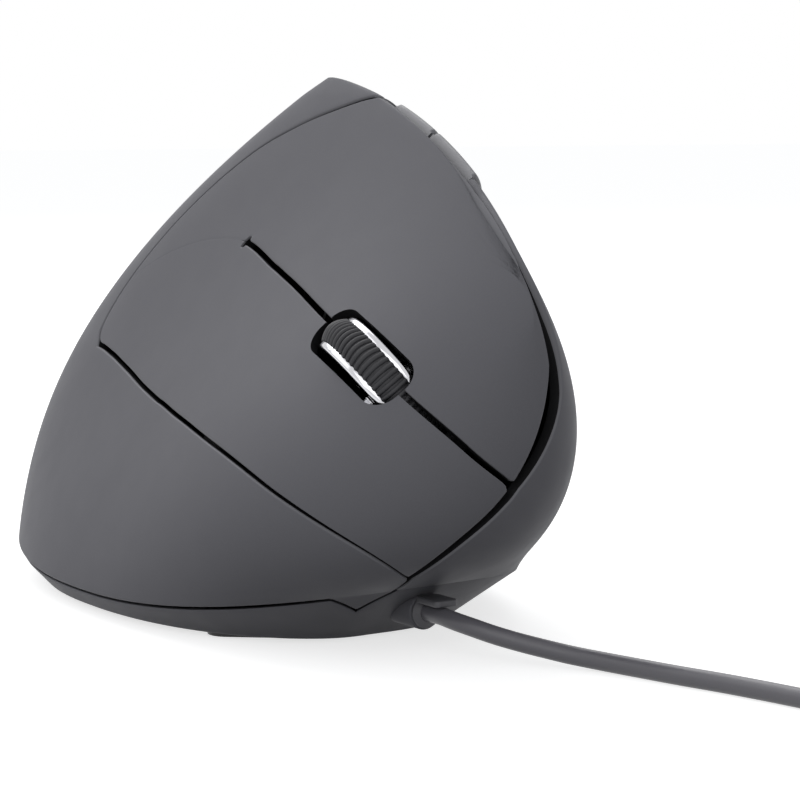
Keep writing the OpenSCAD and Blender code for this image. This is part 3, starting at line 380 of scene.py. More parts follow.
def wall_direction(q):
    """Direction of a moulding's wall: along a smoothed normal, and level at the waist."""
    n = skin_normal(q, WALL_REACH)
    n[..., 2] *= np.clip(to_turn(np.asarray(q, float))[1] / LEVEL_UNDER, 0, 1)
    return unit(n)


print("top of the ridge", skin(np.array([[-PATTERN_FOCUS, 0.0]])).round(1).tolist())

# %% [markdown]
# ## Mouldings with rounded edges
# Each moulding is a four-sided patch of the pattern. Its edge lines are blended into a grid, the grid is laid on the
# skin, and the rows next to an edge sink along a quarter circle. That gives the small bright roll that a real moulded
# edge shows. A Bevel modifier could do this too, but it can't follow an edge whose neighbour lies flush beside it.
# How near a point is to an edge is kept in an attribute, so that the finish can polish the edges a little.

# %% Patch builder
EDGE_STEPS = np.cos(np.radians([0, 15, 30, 45, 60, 75, 90]))
SHARE_STEP, EDGE_MOST, SHARP_UNDER, BEVEL_BEND = 0.004, 0.3, 0.05, 1.25
TOP_FROM, TOP_PRESS = 72.5, 0.115
SOLID_BOX = [np.array(corner) / MM + inset for corner, inset in zip(cad_box, (0.003, -0.003))]


def offset_line(points, t, d):
    """The smooth line through the points, moved d to its left."""
    t = np.atleast_1d(np.asarray(t, float))
    g = unit(smooth_line(points, np.minimum(t + 0.01, 1)) - smooth_line(points, np.maximum(t - 0.01, 0)))
    return smooth_line(points, t) + np.broadcast_to(d, t.shape)[:, None] * np.stack([-g[:, 1], g[:, 0]], -1)


def straight(a, b, count):
    """Pattern points in even steps from a to b, without a itself."""
    a, b = np.asarray(a, float), np.asarray(b, float)
    return a + np.linspace(0, 1, count + 1)[1:, None] * (b - a)


def shares(line):
    """Share of the line's length at each of its points."""
    step = np.concatenate([[0], np.cumsum(np.linalg.norm(np.diff(line, axis=0), axis=1))])
    return step / step[-1]


def read_line(line, knots, t):
    return np.stack([np.interp(t, knots, line[:, 0]), np.interp(t, knots, line[:, 1])], -1)


def patch(low, high, left=None, right=None):
    """A function from shares along and across a four-sided patch to pattern points."""
    low, high = np.asarray(low, float), np.asarray(high, float)
    if left is None:
        knots = np.linspace(0, 1, len(low))
        return lambda s, b: ((1 - b)[..., None] * read_line(low, knots, s)
                             + b[..., None] * read_line(high, knots, s))
    low_knots, high_knots, left_knots, right_knots = shares(low), shares(high), shares(left), shares(right)

    def place(s, b):
        s_, b_ = s[..., None], b[..., None]
        across = (1 - b_) * read_line(low, low_knots, s) + b_ * read_line(high, high_knots, s)
        along = (1 - s_) * read_line(left, left_knots, b) + s_ * read_line(right, right_knots, b)
        corners = (1 - s_) * ((1 - b_) * low[0] + b_ * high[0]) + s_ * ((1 - b_) * low[-1] + b_ * high[-1])
        return across + along - corners
    return place


def rounded_rows(count, start, stop):
    """One row of shares for each width of the edges at its start and stop."""
    t = np.linspace(0, 1, count + 2)[1:-1][None, :]
    middle = t + start * (1 - t)**20 - stop * t**20
    rise = (1 - EDGE_STEPS)[None, :]
    return np.concatenate([rise * start, middle, 1 - rise[:, ::-1] * stop], 1)


def edge_share(place, radius, t, at, across):
    """Share of a patch that a rounded edge takes: the radius over the patch's own size beside that edge."""
    ends = [(t, np.full_like(t, x)) if across else (np.full_like(t, x), t) for x in (at, abs(at - SHARE_STEP))]
    size = np.linalg.norm(skin(place(*ends[1])) - skin(place(*ends[0])), axis=-1) / SHARE_STEP
    return np.minimum(radius / np.maximum(size, 1e-3), EDGE_MOST)[:, None]


def moulding(name, place, grid, radius, thick=1.8, proud=0.0, low_radius=None, high_radius=None, bevel=None,
             bare_shade_low=None, bare_shade_high=None):
    """A closed sheet on the skin. radius rounds its low, high, left and right edges, in millimetres; bevel gives the
    high edge a slope instead. Its outer face takes the first material, and its bare walls take the second, a black that
    paints the shade in the gaps."""
    su, sv = (np.linspace(0, 1, n + 2 * len(EDGE_STEPS)) for n in grid)
    low_r = np.full(len(su), radius[0]) if low_radius is None else low_radius(su)
    high_r = np.full(len(su), radius[1]) if high_radius is None else high_radius(su)

    # The grid has close rows along the rounded edges and even rows between them.
    b = rounded_rows(grid[1], edge_share(place, low_r, su, 0, True), edge_share(place, high_r, su, 1, True)).T
    s = rounded_rows(grid[0], edge_share(place, radius[2], sv, 0, False), edge_share(place, radius[3], sv, 1, False))
    q = place(s, b)

    # A point sinks the deeper, the nearer it is to an edge.
    ends, sides = np.meshgrid(*(np.concatenate([EDGE_STEPS, np.zeros(n), EDGE_STEPS[::-1]]) for n in grid))
    near = np.hypot(ends, sides)
    upper = np.arange(len(sv))[:, None] >= len(sv) / 2
    side_r = np.where(upper, high_r, low_r)
    end_r = np.where(np.arange(len(su)) < len(su) / 2, radius[2], radius[3])
    r = (sides * side_r + ends * end_r) / np.maximum(sides + ends, 1e-9)
    sink = r * (1 - np.sqrt(np.clip(1 - near**2, 0, 1)))
    if bevel:
        sink = np.where(upper & (sides > ends), bevel * high_r * np.minimum(near, 1)**BEVEL_BEND, sink)

    # The outer face stays inside the solids' box, so the very top is pressed a little flatter.
    outer = skin(q) + (proud - sink)[..., None] * skin_normal(q, FACE_REACH)
    outer[..., 2] -= TOP_PRESS * np.maximum(outer[..., 2] - TOP_FROM, 0)
    outer = np.clip(outer, *SOLID_BOX)
    inner = skin(q) - (thick - proud) * wall_direction(q)

    # Both faces and the wall round them make a closed sheet.
    rows, cols = s.shape
    k = np.arange(rows * cols).reshape(rows, cols)
    quads = np.stack([k[:-1, :-1], k[:-1, 1:], k[1:, 1:], k[1:, :-1]], -1).reshape(-1, 4)
    ring = np.concatenate([k[0, :-1], k[:-1, -1], k[-1, :0:-1], k[:0:-1, 0]])
    walls = np.stack([np.roll(ring, -1), ring, ring + k.size, np.roll(ring, -1) + k.size], -1)
    faces = np.concatenate([quads, quads[:, ::-1] + k.size, walls])
    middle = (rows // 2, cols // 2)
    step_s, step_b = (outer[rows // 2 + i, cols // 2 + j] - outer[middle] for i, j in ((0, 1), (1, 0)))
    if np.cross(step_s, step_b) @ skin_normal(q[middle], FACE_REACH) < 0:
        faces = faces[:, ::-1]
    piece = new_piece(name, np.concatenate([outer.reshape(-1, 3), inner.reshape(-1, 3)]), faces, CRISP)

    # The finish reads how near the edge is, and the bare walls take the second material: a black that paints gap shade.
    edge = piece.data.attributes.new("edge", "FLOAT", "POINT")
    nearness = np.concatenate([np.clip(near, 0, 1).ravel(), np.zeros(k.size)])
    edge.data.foreach_set("value", nearness.astype(np.float32))
    # Walls beside rounded edges get the black that paints the shade in their gaps; walls beside sharp edges stay grey.
    low_bare_shade = low_r > SHARP_UNDER if bare_shade_low is None else bare_shade_low(su)
    high_bare_shade = high_r > SHARP_UNDER if bare_shade_high is None else bare_shade_high(su)
    bare_and_shade = np.concatenate([low_bare_shade[:-1], np.full(rows - 1, True), high_bare_shade[:0:-1], np.full(rows - 1, True)])
    index = np.concatenate([0 * quads[:, 0], 0 * quads[:, 0] + 1, bare_and_shade])
    piece.data.polygons.foreach_set("material_index", index)
    print(name + ":", len(faces), "faces")
    return piece


# %% [markdown]
# ## Seams
# The seams are smooth lines through a few points of the pattern. The gaps beside them are the real ones:
# narrow between fixed mouldings, and wider round the keys, which move.

# %% Seam lines
LOW_SEAM = [[-34, 33], [-26.5, 36.2], [-17.5, 39.15], [-6, 41.55], [8, 42.3], [24, 39.35],
            [41, 31.65], [60.4, 18.5], [73, 11]]
SLIT = [[-11, 23.5], [4.1, 24.6], [19.2, 22.4], [34, 15.7], [45.2, 6.95], [52, 0]]
FRONT_SEAM = [[73, 11], [62.5, 5.5], [52, 0], [38, -2.9], [20, -0.7], [5, -2], [-12, -2]]
REAR_SEAM = [[-12, -2], [-13.4, 2], [-17, 6.3], [-22.5, 9.7], [-28.5, 12.5], [-33.5, 17],
             [-36.5, 23.5], [-36.5, 29.5], [-34, 33]]
SLIT_FOOT, KEY_CORNER = 2 / 6, 3 / 6
SEAM_GAP, LOW_GAP, SLIT_GAP, NOSE_GAP, CREST_GAP = 0.35, 0.5, 0.6, 0.9, 3.0
NOSE_TURN, THUMB_TURN, CLOSED_TURNS = 9.5, -126.0, (-58.0, 8.8)
TONGUE, TONGUE_TIP, TONGUE_DEPTH = (9.5, 25.0), 18.5, 0.05
BUTTON_X, BUTTON_Y, WINDOW_GAP = (-11.2, -1.2, 9.8), (-16, -4.8), 0.5


def rear_gap(t):
    """Half the gap of the rear seam, opened out towards the crest, where the pattern is drawn out."""
    return SEAM_GAP / 2 * (1 + 2.5 * (1 - t)**6)


def waist_v(degrees):
    """The main shell's tongue laps down over the base between two turns."""
    rise = np.where(degrees < TONGUE_TIP, (degrees - TONGUE[0]) / (TONGUE_TIP - TONGUE[0]),
                    (TONGUE[1] - degrees) / (TONGUE[1] - TONGUE_TIP))
    return -TONGUE_DEPTH * np.clip(rise, 0, 1)


def waist_line(*stops):
    """Pattern points of the waist: turn, number of steps, turn, number of steps, turn and so on."""
    turns = [np.array([stops[0]], float)]
    for k in range(0, len(stops) - 1, 2):
        turns.append(np.linspace(stops[k], stops[k + 2], stops[k + 1] + 1)[1:])
    turns = np.concatenate(turns)
    return to_pattern(np.radians(turns), waist_v(turns))


print("seams meet the nose at", skin(np.array([FRONT_SEAM[0]], float)).round(1).tolist())

# %% [markdown]
# ## Main shell and thumb shell
# The palm cover and the skirt under the fingers are one moulding; the thumb side and the bow-like nose are the other.
# The thumb shell is notched at the top, where the two thumb buttons sit. Cutting both out of one dome with Booleans
# would leave sharp edges, so each shell is a patch between its seams and the waist.

# %% Shells
REAR_START, CREST_STOP, NOTCH_TOP, NOTCH_ROUND, NOTCH_END = 0.95, 0.745, 1.4, 2.5, (-12, -2.4)
NOSE_STEPS, CREST_STEPS, OPEN_STEPS, BARE_SHADE_STEPS = 25, 36, 12, 22
t_low, t_rear = np.linspace(1, 0, 89), np.linspace(REAR_START, 0, 65)
low_line, rear_line = offset_line(LOW_SEAM, t_low, LOW_GAP / 2), offset_line(REAR_SEAM, t_rear, rear_gap(t_rear))
main_edge = np.concatenate([low_line, straight(low_line[-1], rear_line[0], 4), rear_line[1:]])
main_waist = waist_line(NOSE_TURN + 0.4, 8, TONGUE_TIP, 4, TONGUE[1], 76, 122, 4, 128, 64, 360 + THUMB_TURN - 0.25)
main_shell = moulding("palm_shell", patch(main_edge, main_waist), grid=(311, 80), radius=(0.35, 0.3, 0.3, 0.25))
window_front, window_rear = BUTTON_X[2] + WINDOW_GAP, BUTTON_X[0] - WINDOW_GAP
window_low, window_top = BUTTON_Y[0] - WINDOW_GAP, BUTTON_Y[1] + NOTCH_TOP
crest_gap = NOSE_GAP + (CREST_GAP - NOSE_GAP) * np.minimum(np.arange(1, CREST_STEPS + 1) / OPEN_STEPS, 1)
thumb_lines = [offset_line(FRONT_SEAM, np.linspace(0, SLIT_FOOT, NOSE_STEPS), NOSE_GAP),
               offset_line(FRONT_SEAM, np.linspace(SLIT_FOOT, CREST_STOP, CREST_STEPS + 1)[1:], crest_gap)]
for corner, steps in (((window_front, window_top), 4), ((window_front, window_low), 12),
                      ((window_front - NOTCH_ROUND, window_low), 4), ((window_rear + NOTCH_ROUND, window_low), 28),
                      ((window_rear, window_low), 4), ((window_rear, window_top), 12), (NOTCH_END, 4)):
    thumb_lines.append(straight(thumb_lines[-1][-1], corner, steps))
thumb_edge = np.concatenate(thumb_lines)
crest_open, crest_bare_shade, crest_end = shares(thumb_edge)[[NOSE_STEPS + k - 1
                                                        for k in (OPEN_STEPS, BARE_SHADE_STEPS, CREST_STEPS)]]
crest_stops = [crest_open - 0.03, crest_open + 0.03, crest_end - 0.01, crest_end + 0.005]
thumb_waist = waist_line(NOSE_TURN - 0.4, 24, -12, 4, -16, 32, -66, 4, -69, 12, -75, 4, -79, 28, -107, 4, -110, 12,
                         -116, 4, THUMB_TURN)
# The low edge's walls are black from the nose to part way along the crest, where they paint the shade in the gap;
# beyond that, along the upper crest and round the button window, they stay grey, so the gap there shows little shade.
thumb_shell = moulding("thumb_shell_skin", patch(thumb_edge, thumb_waist), grid=(255, 80),
                       radius=(0.3, 0.3, 0.25, 0.25),
                       high_radius=lambda s: np.interp(s, [0, 0.006, 0.41, 0.46], [0.3, 0.02, 0.02, 0.3]),
                       low_radius=lambda s: np.interp(s, crest_stops, [0.3, 0.8, 0.8, 0.3]),
                       bare_shade_low=lambda s: s < crest_bare_shade)
for piece, node in ((main_shell, "main_shell"), (thumb_shell, "thumb_shell")):
    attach(piece, "mouse_body")
    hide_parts(node)

# %% [markdown]
# ## Key panel
# Both keys and the web behind them are one moulding with a slit that ends in a small cross cut. Here it is two patches
# that share an edge behind the slit. That edge is left sharp, so no seam shows. One patch with a cut would need
# points that follow the slit on both sides, which two patches have by themselves.

# %% Key panel
PANEL_SPLIT, SEAM_STOP, CORNER_GAP = 6 / 8, 0.985, 0.006
CROSS_CUT, CROSS_STEP, CROSS_HALF = 0.012, 0.0005, 0.6
t_slit = np.concatenate([np.linspace(0, CROSS_CUT - CROSS_STEP, 5),
                         np.linspace(CROSS_CUT + CROSS_STEP, SEAM_STOP, 160)])
slit_half = np.where(t_slit < CROSS_CUT, CROSS_HALF, SLIT_GAP / 2 * (0.85 + 0.35 * t_slit))
slit_half[0] = 0.0
split_point = offset_line(REAR_SEAM, [PANEL_SPLIT], -SEAM_GAP / 2)
web_line = np.concatenate([split_point, straight(split_point[0], SLIT[0], 50)])
left_low = np.concatenate([web_line[:-1], offset_line(SLIT, t_slit, -slit_half)])
right_high = np.concatenate([web_line[:-1], offset_line(SLIT, t_slit, slit_half)])


def slit_rounding(line):
    """Edge radius along a line: none on the web, the usual one along the slit."""
    web_end = shares(line)[len(web_line) - 1]
    return lambda s: np.interp(s, [web_end - 0.002, web_end + 0.006], [0.003, 0.28])


def crest_rounding(s):
    """Width of the rolled edge along the crest, which opens out from the top corner."""
    return np.interp(s, [0, 0.06, 0.35], [0.3, 0.6, 1.9])


left_high = smooth_line(FRONT_SEAM, np.linspace(SEAM_STOP, KEY_CORNER, 160))
t_back = np.linspace(PANEL_SPLIT, 0.02, 80)
left_rear = offset_line(REAR_SEAM, t_back, -rear_gap(t_back))
left_front = smooth_line(FRONT_SEAM, np.linspace(SLIT_FOOT + CORNER_GAP, KEY_CORNER, 50))
left_rear[0], left_rear[-1] = left_low[0], left_high[0]
left_front[0], left_front[-1] = left_low[-1], left_high[-1]
# Along the crest the high edge's walls stay grey, so the gap there shows little shade; only near the front corner are
# they black, where they paint the shade in the gap.
left_panel = moulding("left_key_panel", patch(left_low, left_high, left_rear, left_front), grid=(330, 80),
                      radius=(0.28, 0.5, 0.25, 1.2), low_radius=slit_rounding(left_low), high_radius=crest_rounding,
                      bevel=0.42, bare_shade_high=lambda s: s > 0.84)
right_low = offset_line(LOW_SEAM, np.linspace(0.01, SEAM_STOP, 200), -LOW_GAP / 2)
right_rear = offset_line(REAR_SEAM, np.linspace(0.975, PANEL_SPLIT, 50), -SEAM_GAP / 2)
right_front = smooth_line(FRONT_SEAM, np.linspace(CORNER_GAP, SLIT_FOOT - CORNER_GAP, 60))
right_rear[0], right_rear[-1] = right_low[0], right_high[0]
right_front[0], right_front[-1] = right_low[-1], right_high[-1]
right_panel = moulding("right_key_panel", patch(right_low, right_high, right_rear, right_front), grid=(330, 70),
                       radius=(0.35, 0.28, 0.3, 1.2), high_radius=slit_rounding(right_high))

# %% [markdown]
# ## Wheel slot
# The wheel has a frame of its own: X along the axle, Y forward along the slot, Z out of the keys. The slot is cut
# out of both halves of the panel with a Boolean, because it crosses the slit and both edges have to match.

# %% Slot
key_axes = np.array(Euler([math.radians(a) for a in (-30.5, 39.5, -21)], "XYZ").to_matrix())
WHEEL_AT, WHEEL_R, WHEEL_PROUD = (31, 17.7), 11.5, 3.5
TYRE_W, RIM_W, TYRE_CROWN, TYRE_RIBS = 4.0, 0.9, 0.9, 72
SLOT_LENGTH, SLOT_WIDTH, SLOT_CORNER, SLOT_CLEAR = 20.4, 7.8, 3.2, 0.6
AXLE_BACK, SLOT_BACK = 2.6, 3.1
wheel_middle = skin(np.array([WHEEL_AT]))[0] - (WHEEL_R - WHEEL_PROUD) * key_axes[:, 2]


def from_wheel(points):
    """Points of the wheel's frame in the model's frame."""
    return np.asarray(points, float) @ key_axes.T + wheel_middle


axle_middle = from_wheel([0, -AXLE_BACK, 0])
slot_outline = rounded_outline(SLOT_WIDTH, SLOT_LENGTH, SLOT_CORNER) - [0, SLOT_BACK]
drum_half = [(WHEEL_R - 1.2, -3.4), (WHEEL_R - 0.5, -2.9), (WHEEL_R - 0.1, -1.8)]
drum_profile = [*drum_half, (WHEEL_R + SLOT_CLEAR, 0), *[(r, -z) for r, z in drum_half[::-1]]]
for piece in (left_panel, right_panel):
    cutters = [prism("slot", slot_outline, -2, 30, from_wheel),
               lathe("drum", drum_profile, axle_middle, key_axes[:, 0], 144)]
    # The slot's cut faces take the second material, the black that paints the shade inside the slot.
    for cutter in cutters:
        cutter.data.polygons.foreach_set("material_index", [1] * len(cutter.data.polygons))
    cut_away(piece, *cutters)

# %% [markdown]
# ## Flexing line of the keys
# A real key bends in the thin web behind it; a stiff key on a hinge would open a step there. Here the points of
# each half's flexing line are worked out, the half's placement is baked into its mesh, and the key solids are hidden.

# %% Flexing line of the keys
FLEX_X = (-10.5, -3)
for piece, body, nodes, y in ((left_panel, "left_key", ("left_button", "button_panel"), 11),
                              (right_panel, "right_key", ("right_button",), 32)):
    behind, ahead = (skin(np.array([[x, y]], float))[0] * MM for x in FLEX_X)
    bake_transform(piece)
    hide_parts(*nodes)
    print(piece.name, "bends with", body)

# %% [markdown]
# ## Thumb buttons
# Two buttons stand a little proud of the thumb side, just under the crest. From the nose only their upper edge shows.
# They lie on the same skin as the shell, so they are patches too, with rounder edges, where a finger feels them.

# %% Thumb buttons
thumb_caps = []
for name, rear, front in (("forward", BUTTON_X[1] + WINDOW_GAP / 2, BUTTON_X[2]),
                          ("back", BUTTON_X[0], BUTTON_X[1] - WINDOW_GAP / 2)):
    edges = [np.stack([np.linspace(rear, front, 30), np.full(30, y)], -1) for y in BUTTON_Y]
    cap = moulding(name + "_cap", patch(*edges), grid=(48, 48), radius=(0.7, 0.6, 0.6, 0.6), thick=1.7, proud=0.6)
    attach(cap, name + "_key")
    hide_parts(name + "_button")
    thumb_caps.append(cap)

# %% [markdown]
# ## Base
# The base is a tray: a floor, and a wall that leans out to the waist. Rings of points round the body make it, and its
# upper rim lies a seam's gap under the shells. Round the nose the gap closes, because the picture shows no seam there.
# The sensor window, screw wells and cable bore are cut out of it.

# %% Base tray
RIM_ROUND, RIM_CLOSED, BASE_WALL, BASE_FOOT, FLOOR_TOP = 0.3, 0.04, 1.9, 2.6, BASE_Z + 2
FOOT_ROLL = ((1.2, 0), (0.75, 0.06), (0.3, 0.22), (0, 0.5))
SCREW_AT, SENSOR_AT = ((15, 8), (-6, 20), (9, 25)), (0, -6)
turns = np.linspace(0, 360, 720, endpoint=False)
u = np.radians(turns)
waist_rise = around(u, WAIST_Z) - BASE_Z
face = outward(u)


def under_seam(down):
    return skin_at(u, np.minimum(waist_v(turns) - BASE_SHARE * down / waist_rise, -1e-6))


rim_open = np.interp((turns + 180) % 360 - 180, [CLOSED_TURNS[0] - 8, *CLOSED_TURNS, NOSE_TURN],
                     [1, RIM_CLOSED, RIM_CLOSED, 1])
rim_gap, rim_round = SEAM_GAP * rim_open, RIM_ROUND * rim_open
edge = base_edge(u)
inner_floor = edge - BASE_FOOT * face
inner_floor[:, 2] = FLOOR_TOP
rings = [edge - inset * face + [0, 0, rise] for inset, rise in FOOT_ROLL]
rings += [under_seam(rim_gap + rim_round) * f + rings[-1] * (1 - f) for f in (0.25, 0.5, 0.75, 1)]
rings += [under_seam(rim_gap + rim_round * (1 - math.sin(a))) - (rim_round * (1 - math.cos(a)))[:, None] * face
          for a in np.radians([30, 60, 90])]
rings += [under_seam(rim_gap) - BASE_WALL * face, inner_floor]
base = loft("base_tray_skin", rings, CRISP, flip=True)
well_profile = [(2.4, -0.5), (2.4, 1.6), (1.3, 1.6), (1.3, 8)]
cutters = [prism("window", rounded_outline(6, 8, 1.5), -1, 6, lambda p: p + [*SENSOR_AT, 0])]
cutters += [lathe("well", well_profile, (x, y, 0), (0, 0, 1), 48) for x, y in SCREW_AT]
cutters.append(lathe("bore", [(1.8, -20), (1.8, 9)], EXIT_AT, (0, 1, 0), 64))
cut_away(base, *cutters)
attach(base, "mouse_body")
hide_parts("base_tray")

# %% [markdown]
# ## Cable collar and relief
# The cable leaves through a round collar of the base, in a soft relief whose flat hood reaches over the cable.
# The round pieces are turned on the lathe, with small arcs on their edges, and the hood is a soft block.

# %% Collar and relief
COLLAR_R, RELIEF_R, FLANGE_R, FLANGE_T = 2.45, 1.7, 2.2, 0.4
COLLAR_BACK, RELIEF_BACK, LAP, HOOD_SIZE, HOOD_T = -6, -14.6, 0.05, (3.5, 5.2), 0.9
collar_profile = np.concatenate([[(RELIEF_R + 0.1, COLLAR_BACK), (COLLAR_R, COLLAR_BACK)],
                                 arc((COLLAR_R - 0.25, -0.25), 0.25, 0, 90),
                                 arc((RELIEF_R + 0.25, -0.15), 0.15, 90, 180)])
collar = lathe("cable_collar", collar_profile, EXIT_AT, (0, 1, 0), 72, ring=True)
relief_profile = np.concatenate([[(RELIEF_R, RELIEF_BACK), (RELIEF_R, LAP)],
                                 arc((FLANGE_R - FLANGE_T / 2, LAP + FLANGE_T / 2), FLANGE_T / 2, -90, 90),
                                 arc((CABLE_D / 2 + 0.1, 0.7), 0.15, 30, 90)])
relief = lathe("relief_cone", relief_profile, EXIT_AT, (0, 1, 0), 72)
hood_middle = EXIT_AT + [0, LAP + HOOD_SIZE[1] / 2, FLANGE_R + LAP]
hood = soft_block("relief_hood", HOOD_SIZE, 0.7, -HOOD_T, 0, 0.25, lambda p: p + hood_middle)
for piece, slot_name in ((collar, "shell"), (relief, "relief"), (hood, "relief")):
    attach(piece, "mouse_body")
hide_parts("strain_relief")
print("collar, relief and hood made")

# %% [markdown]
# ## Scroll wheel
# A bright hub with a polished rim on each side carries a black tyre. The hub with its axle is one turned piece, so a
# lathe makes it.

# %% Wheel hub
HUB_HALF, RIM_R, SEAT_R = TYRE_W / 2 + RIM_W, WHEEL_R - TYRE_CROWN - 0.2, WHEEL_R - 2
AXLE_R, AXLE_ENDS = 1.5, (-11.3, 9.2)
half = np.concatenate([[(AXLE_R, AXLE_ENDS[0]), (AXLE_R, -HUB_HALF + 0.3), (4, -HUB_HALF + 0.3), (5, -TYRE_W / 2),
                        (RIM_R - 2.2, -TYRE_W / 2 - 0.1)], arc((RIM_R - 1.2, -HUB_HALF + 0.35), 0.35, 200, 270, 4),
                       arc((RIM_R - 0.45, -HUB_HALF + 0.45), 0.45, 270, 360, 7),
                       [(RIM_R + 0.05, -TYRE_W / 2 - 0.3), (RIM_R, -TYRE_W / 2 - 0.02), (SEAT_R, -TYRE_W / 2 - 0.02)]])
hub_profile = np.concatenate([half, (half * [1, -1])[::-1]])
hub_profile[-1] = (AXLE_R, AXLE_ENDS[1])
hub = lathe("wheel_hub", hub_profile, axle_middle, key_axes[:, 0], 144)
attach(hub, "wheel")
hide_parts("scroll_wheel")
print("hub:", len(hub.data.polygons), "faces")

# %% [markdown]
# Geometry Nodes and shaders are both trees of nodes. A few short forms to add, feed and link nodes keep them readable.


# %% Node helpers
class Wires:
    """Short forms to add nodes to a tree and to link them."""

    def __init__(self, tree):
        self.tree, self.add, self.link = tree, tree.nodes.new, tree.links.new

    def feed(self, socket, value):
        """Links a socket to another one, or sets it to a plain value."""
        if isinstance(value, bpy.types.NodeSocket):
            self.link(value, socket)
        else:
            socket.default_value = value

    def math(self, operation, a, b):
        node = self.add("ShaderNodeMath")
        node.operation = operation
        self.feed(node.inputs[0], a)
        self.feed(node.inputs[1], b)
        return node.outputs[0]

    def mix(self, factor, a, b):
        """A mix of two colours."""
        node = self.add("ShaderNodeMix")
        node.data_type = "RGBA"
        for k, value in ((0, factor), (6, a), (7, b)):
            self.feed(node.inputs[k], value)
        return node.outputs[2]

    def noise(self, scale, detail=2.0, stretch=None):
        """A noise on Object coordinates. scale is the number of grains in a metre."""
        place, noise = self.add("ShaderNodeTexCoord").outputs["Object"], self.add("ShaderNodeTexNoise")
        if stretch:
            mapping = self.add("ShaderNodeMapping")
            mapping.inputs["Scale"].default_value = stretch
            self.link(place, mapping.inputs["Vector"])
            place = mapping.outputs[0]
        self.link(place, noise.inputs["Vector"])
        noise.inputs["Detail"].default_value = detail
        self.feed(noise.inputs["Scale"], scale)
        return noise.outputs[0]

    def swing(self, noise, amount):
        """A noise that swings round zero by an amount."""
        return self.math("MULTIPLY", self.math("SUBTRACT", noise, 0.5), amount)


# %% [markdown]
# The tyre is crowned, and its ribs repeat round it. Modelling one rib and an Array modifier would do, but Geometry
# Nodes keep the number of ribs, their radius and the crown as plain values: one curved rib goes on every point of a
# circle.


# %% Tyre ribs
def rib_nodes():
    """A node tree that lays curved ribs round a band."""
    tree = bpy.data.node_groups.new("tyre_ribs", "GeometryNodeTree")
    sockets = {}
    for name, kind in (("Band", "Geometry"), ("Ribs", "Int"), ("Radius", "Float"), ("Half width", "Float"),
                       ("Crown", "Float"), ("Rib radius", "Float"), ("Finish", "Material")):
        sockets[name] = tree.interface.new_socket(name, in_out="INPUT", socket_type="NodeSocket" + kind).identifier
    tree.interface.new_socket("Tyre", in_out="OUTPUT", socket_type="NodeSocketGeometry")
    wires = Wires(tree)
    add, link = wires.add, wires.link
    given, made = add("NodeGroupInput").outputs, add("NodeGroupOutput").inputs
    bend = add("GeometryNodeCurveQuadraticBezier")
    bend.inputs["Resolution"].default_value = 12
    crown, width = given["Crown"], given["Half width"]
    low, left = wires.math("MULTIPLY", crown, -1), wires.math("MULTIPLY", width, -1)
    for name, x, z in (("Start", low, left), ("Middle", crown, 0), ("End", low, width)):
        point = add("ShaderNodeCombineXYZ")
        wires.feed(point.inputs["X"], x)
        wires.feed(point.inputs["Z"], z)
        link(point.outputs[0], bend.inputs[name])
    section = add("GeometryNodeCurvePrimitiveCircle")
    section.inputs["Resolution"].default_value = 8
    link(given["Rib radius"], section.inputs["Radius"])
    rib = add("GeometryNodeCurveToMesh")
    rib.inputs["Fill Caps"].default_value = True
    link(bend.outputs[0], rib.inputs["Curve"])
    link(section.outputs[0], rib.inputs["Profile Curve"])
    circle = add("GeometryNodeMeshCircle")
    link(given["Ribs"], circle.inputs["Vertices"])
    link(given["Radius"], circle.inputs["Radius"])
    turn = add("FunctionNodeAlignRotationToVector")
    turn.axis, turn.pivot_axis = "X", "Z"
    link(add("GeometryNodeInputPosition").outputs[0], turn.inputs["Vector"])
    copies = add("GeometryNodeInstanceOnPoints")
    link(circle.outputs[0], copies.inputs["Points"])
    link(rib.outputs[0], copies.inputs["Instance"])
    link(turn.outputs[0], copies.inputs["Rotation"])
    join, real = add("GeometryNodeJoinGeometry"), add("GeometryNodeRealizeInstances")
    coat = add("GeometryNodeSetMaterial")
    link(given["Band"], join.inputs[0])
    link(copies.outputs[0], join.inputs[0])
    link(join.outputs[0], real.inputs[0])
    link(real.outputs[0], coat.inputs["Geometry"])
    link(given["Finish"], coat.inputs["Material"])
    link(coat.outputs[0], made[0])
    return tree, sockets


def by_nodes(piece, tree, sockets, values):
    """Runs a node tree on a piece with the given values and keeps the result."""
    run = piece.modifiers.new(tree.name, "NODES")
    run.node_group = tree
    for name, value in values.items():
        run[sockets[name]] = value
    keep_result(piece)


tyre_rubber = bpy.data.materials.new("tyre_rubber")
RIB_R, RIB_SUNK = 0.36, 0.34
across = np.linspace(-1, 1, 17)
band_profile = np.concatenate([np.stack([WHEEL_R - RIB_SUNK - TYRE_CROWN * across**2, across * TYRE_W / 2], -1),
                               [(SEAT_R, TYRE_W / 2), (SEAT_R, -TYRE_W / 2)]])
tyre = lathe("ribbed_tyre", band_profile, (0, 0, 0), (0, 0, 1), 216, ring=True)
tree, sockets = rib_nodes()
by_nodes(tyre, tree, sockets, {
    "Ribs": TYRE_RIBS, "Radius": (WHEEL_R - RIB_R) * MM, "Half width": (TYRE_W / 2 - 0.15) * MM,
    "Crown": TYRE_CROWN * 0.88 * MM, "Rib radius": RIB_R * MM, "Finish": tyre_rubber})
wheel_turn = Matrix([key_axes[i][[1, 2, 0]].tolist() for i in range(3)]).to_4x4()
tyre.data.transform(Matrix.Translation(Vector(axle_middle * MM)) @ wheel_turn)
tyre.data.polygons.foreach_set("use_smooth", [True] * len(tyre.data.polygons))
tyre.data.set_sharp_from_angle(angle=math.radians(CRISP))
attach(tyre, "wheel")
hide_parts("wheel_tyre")
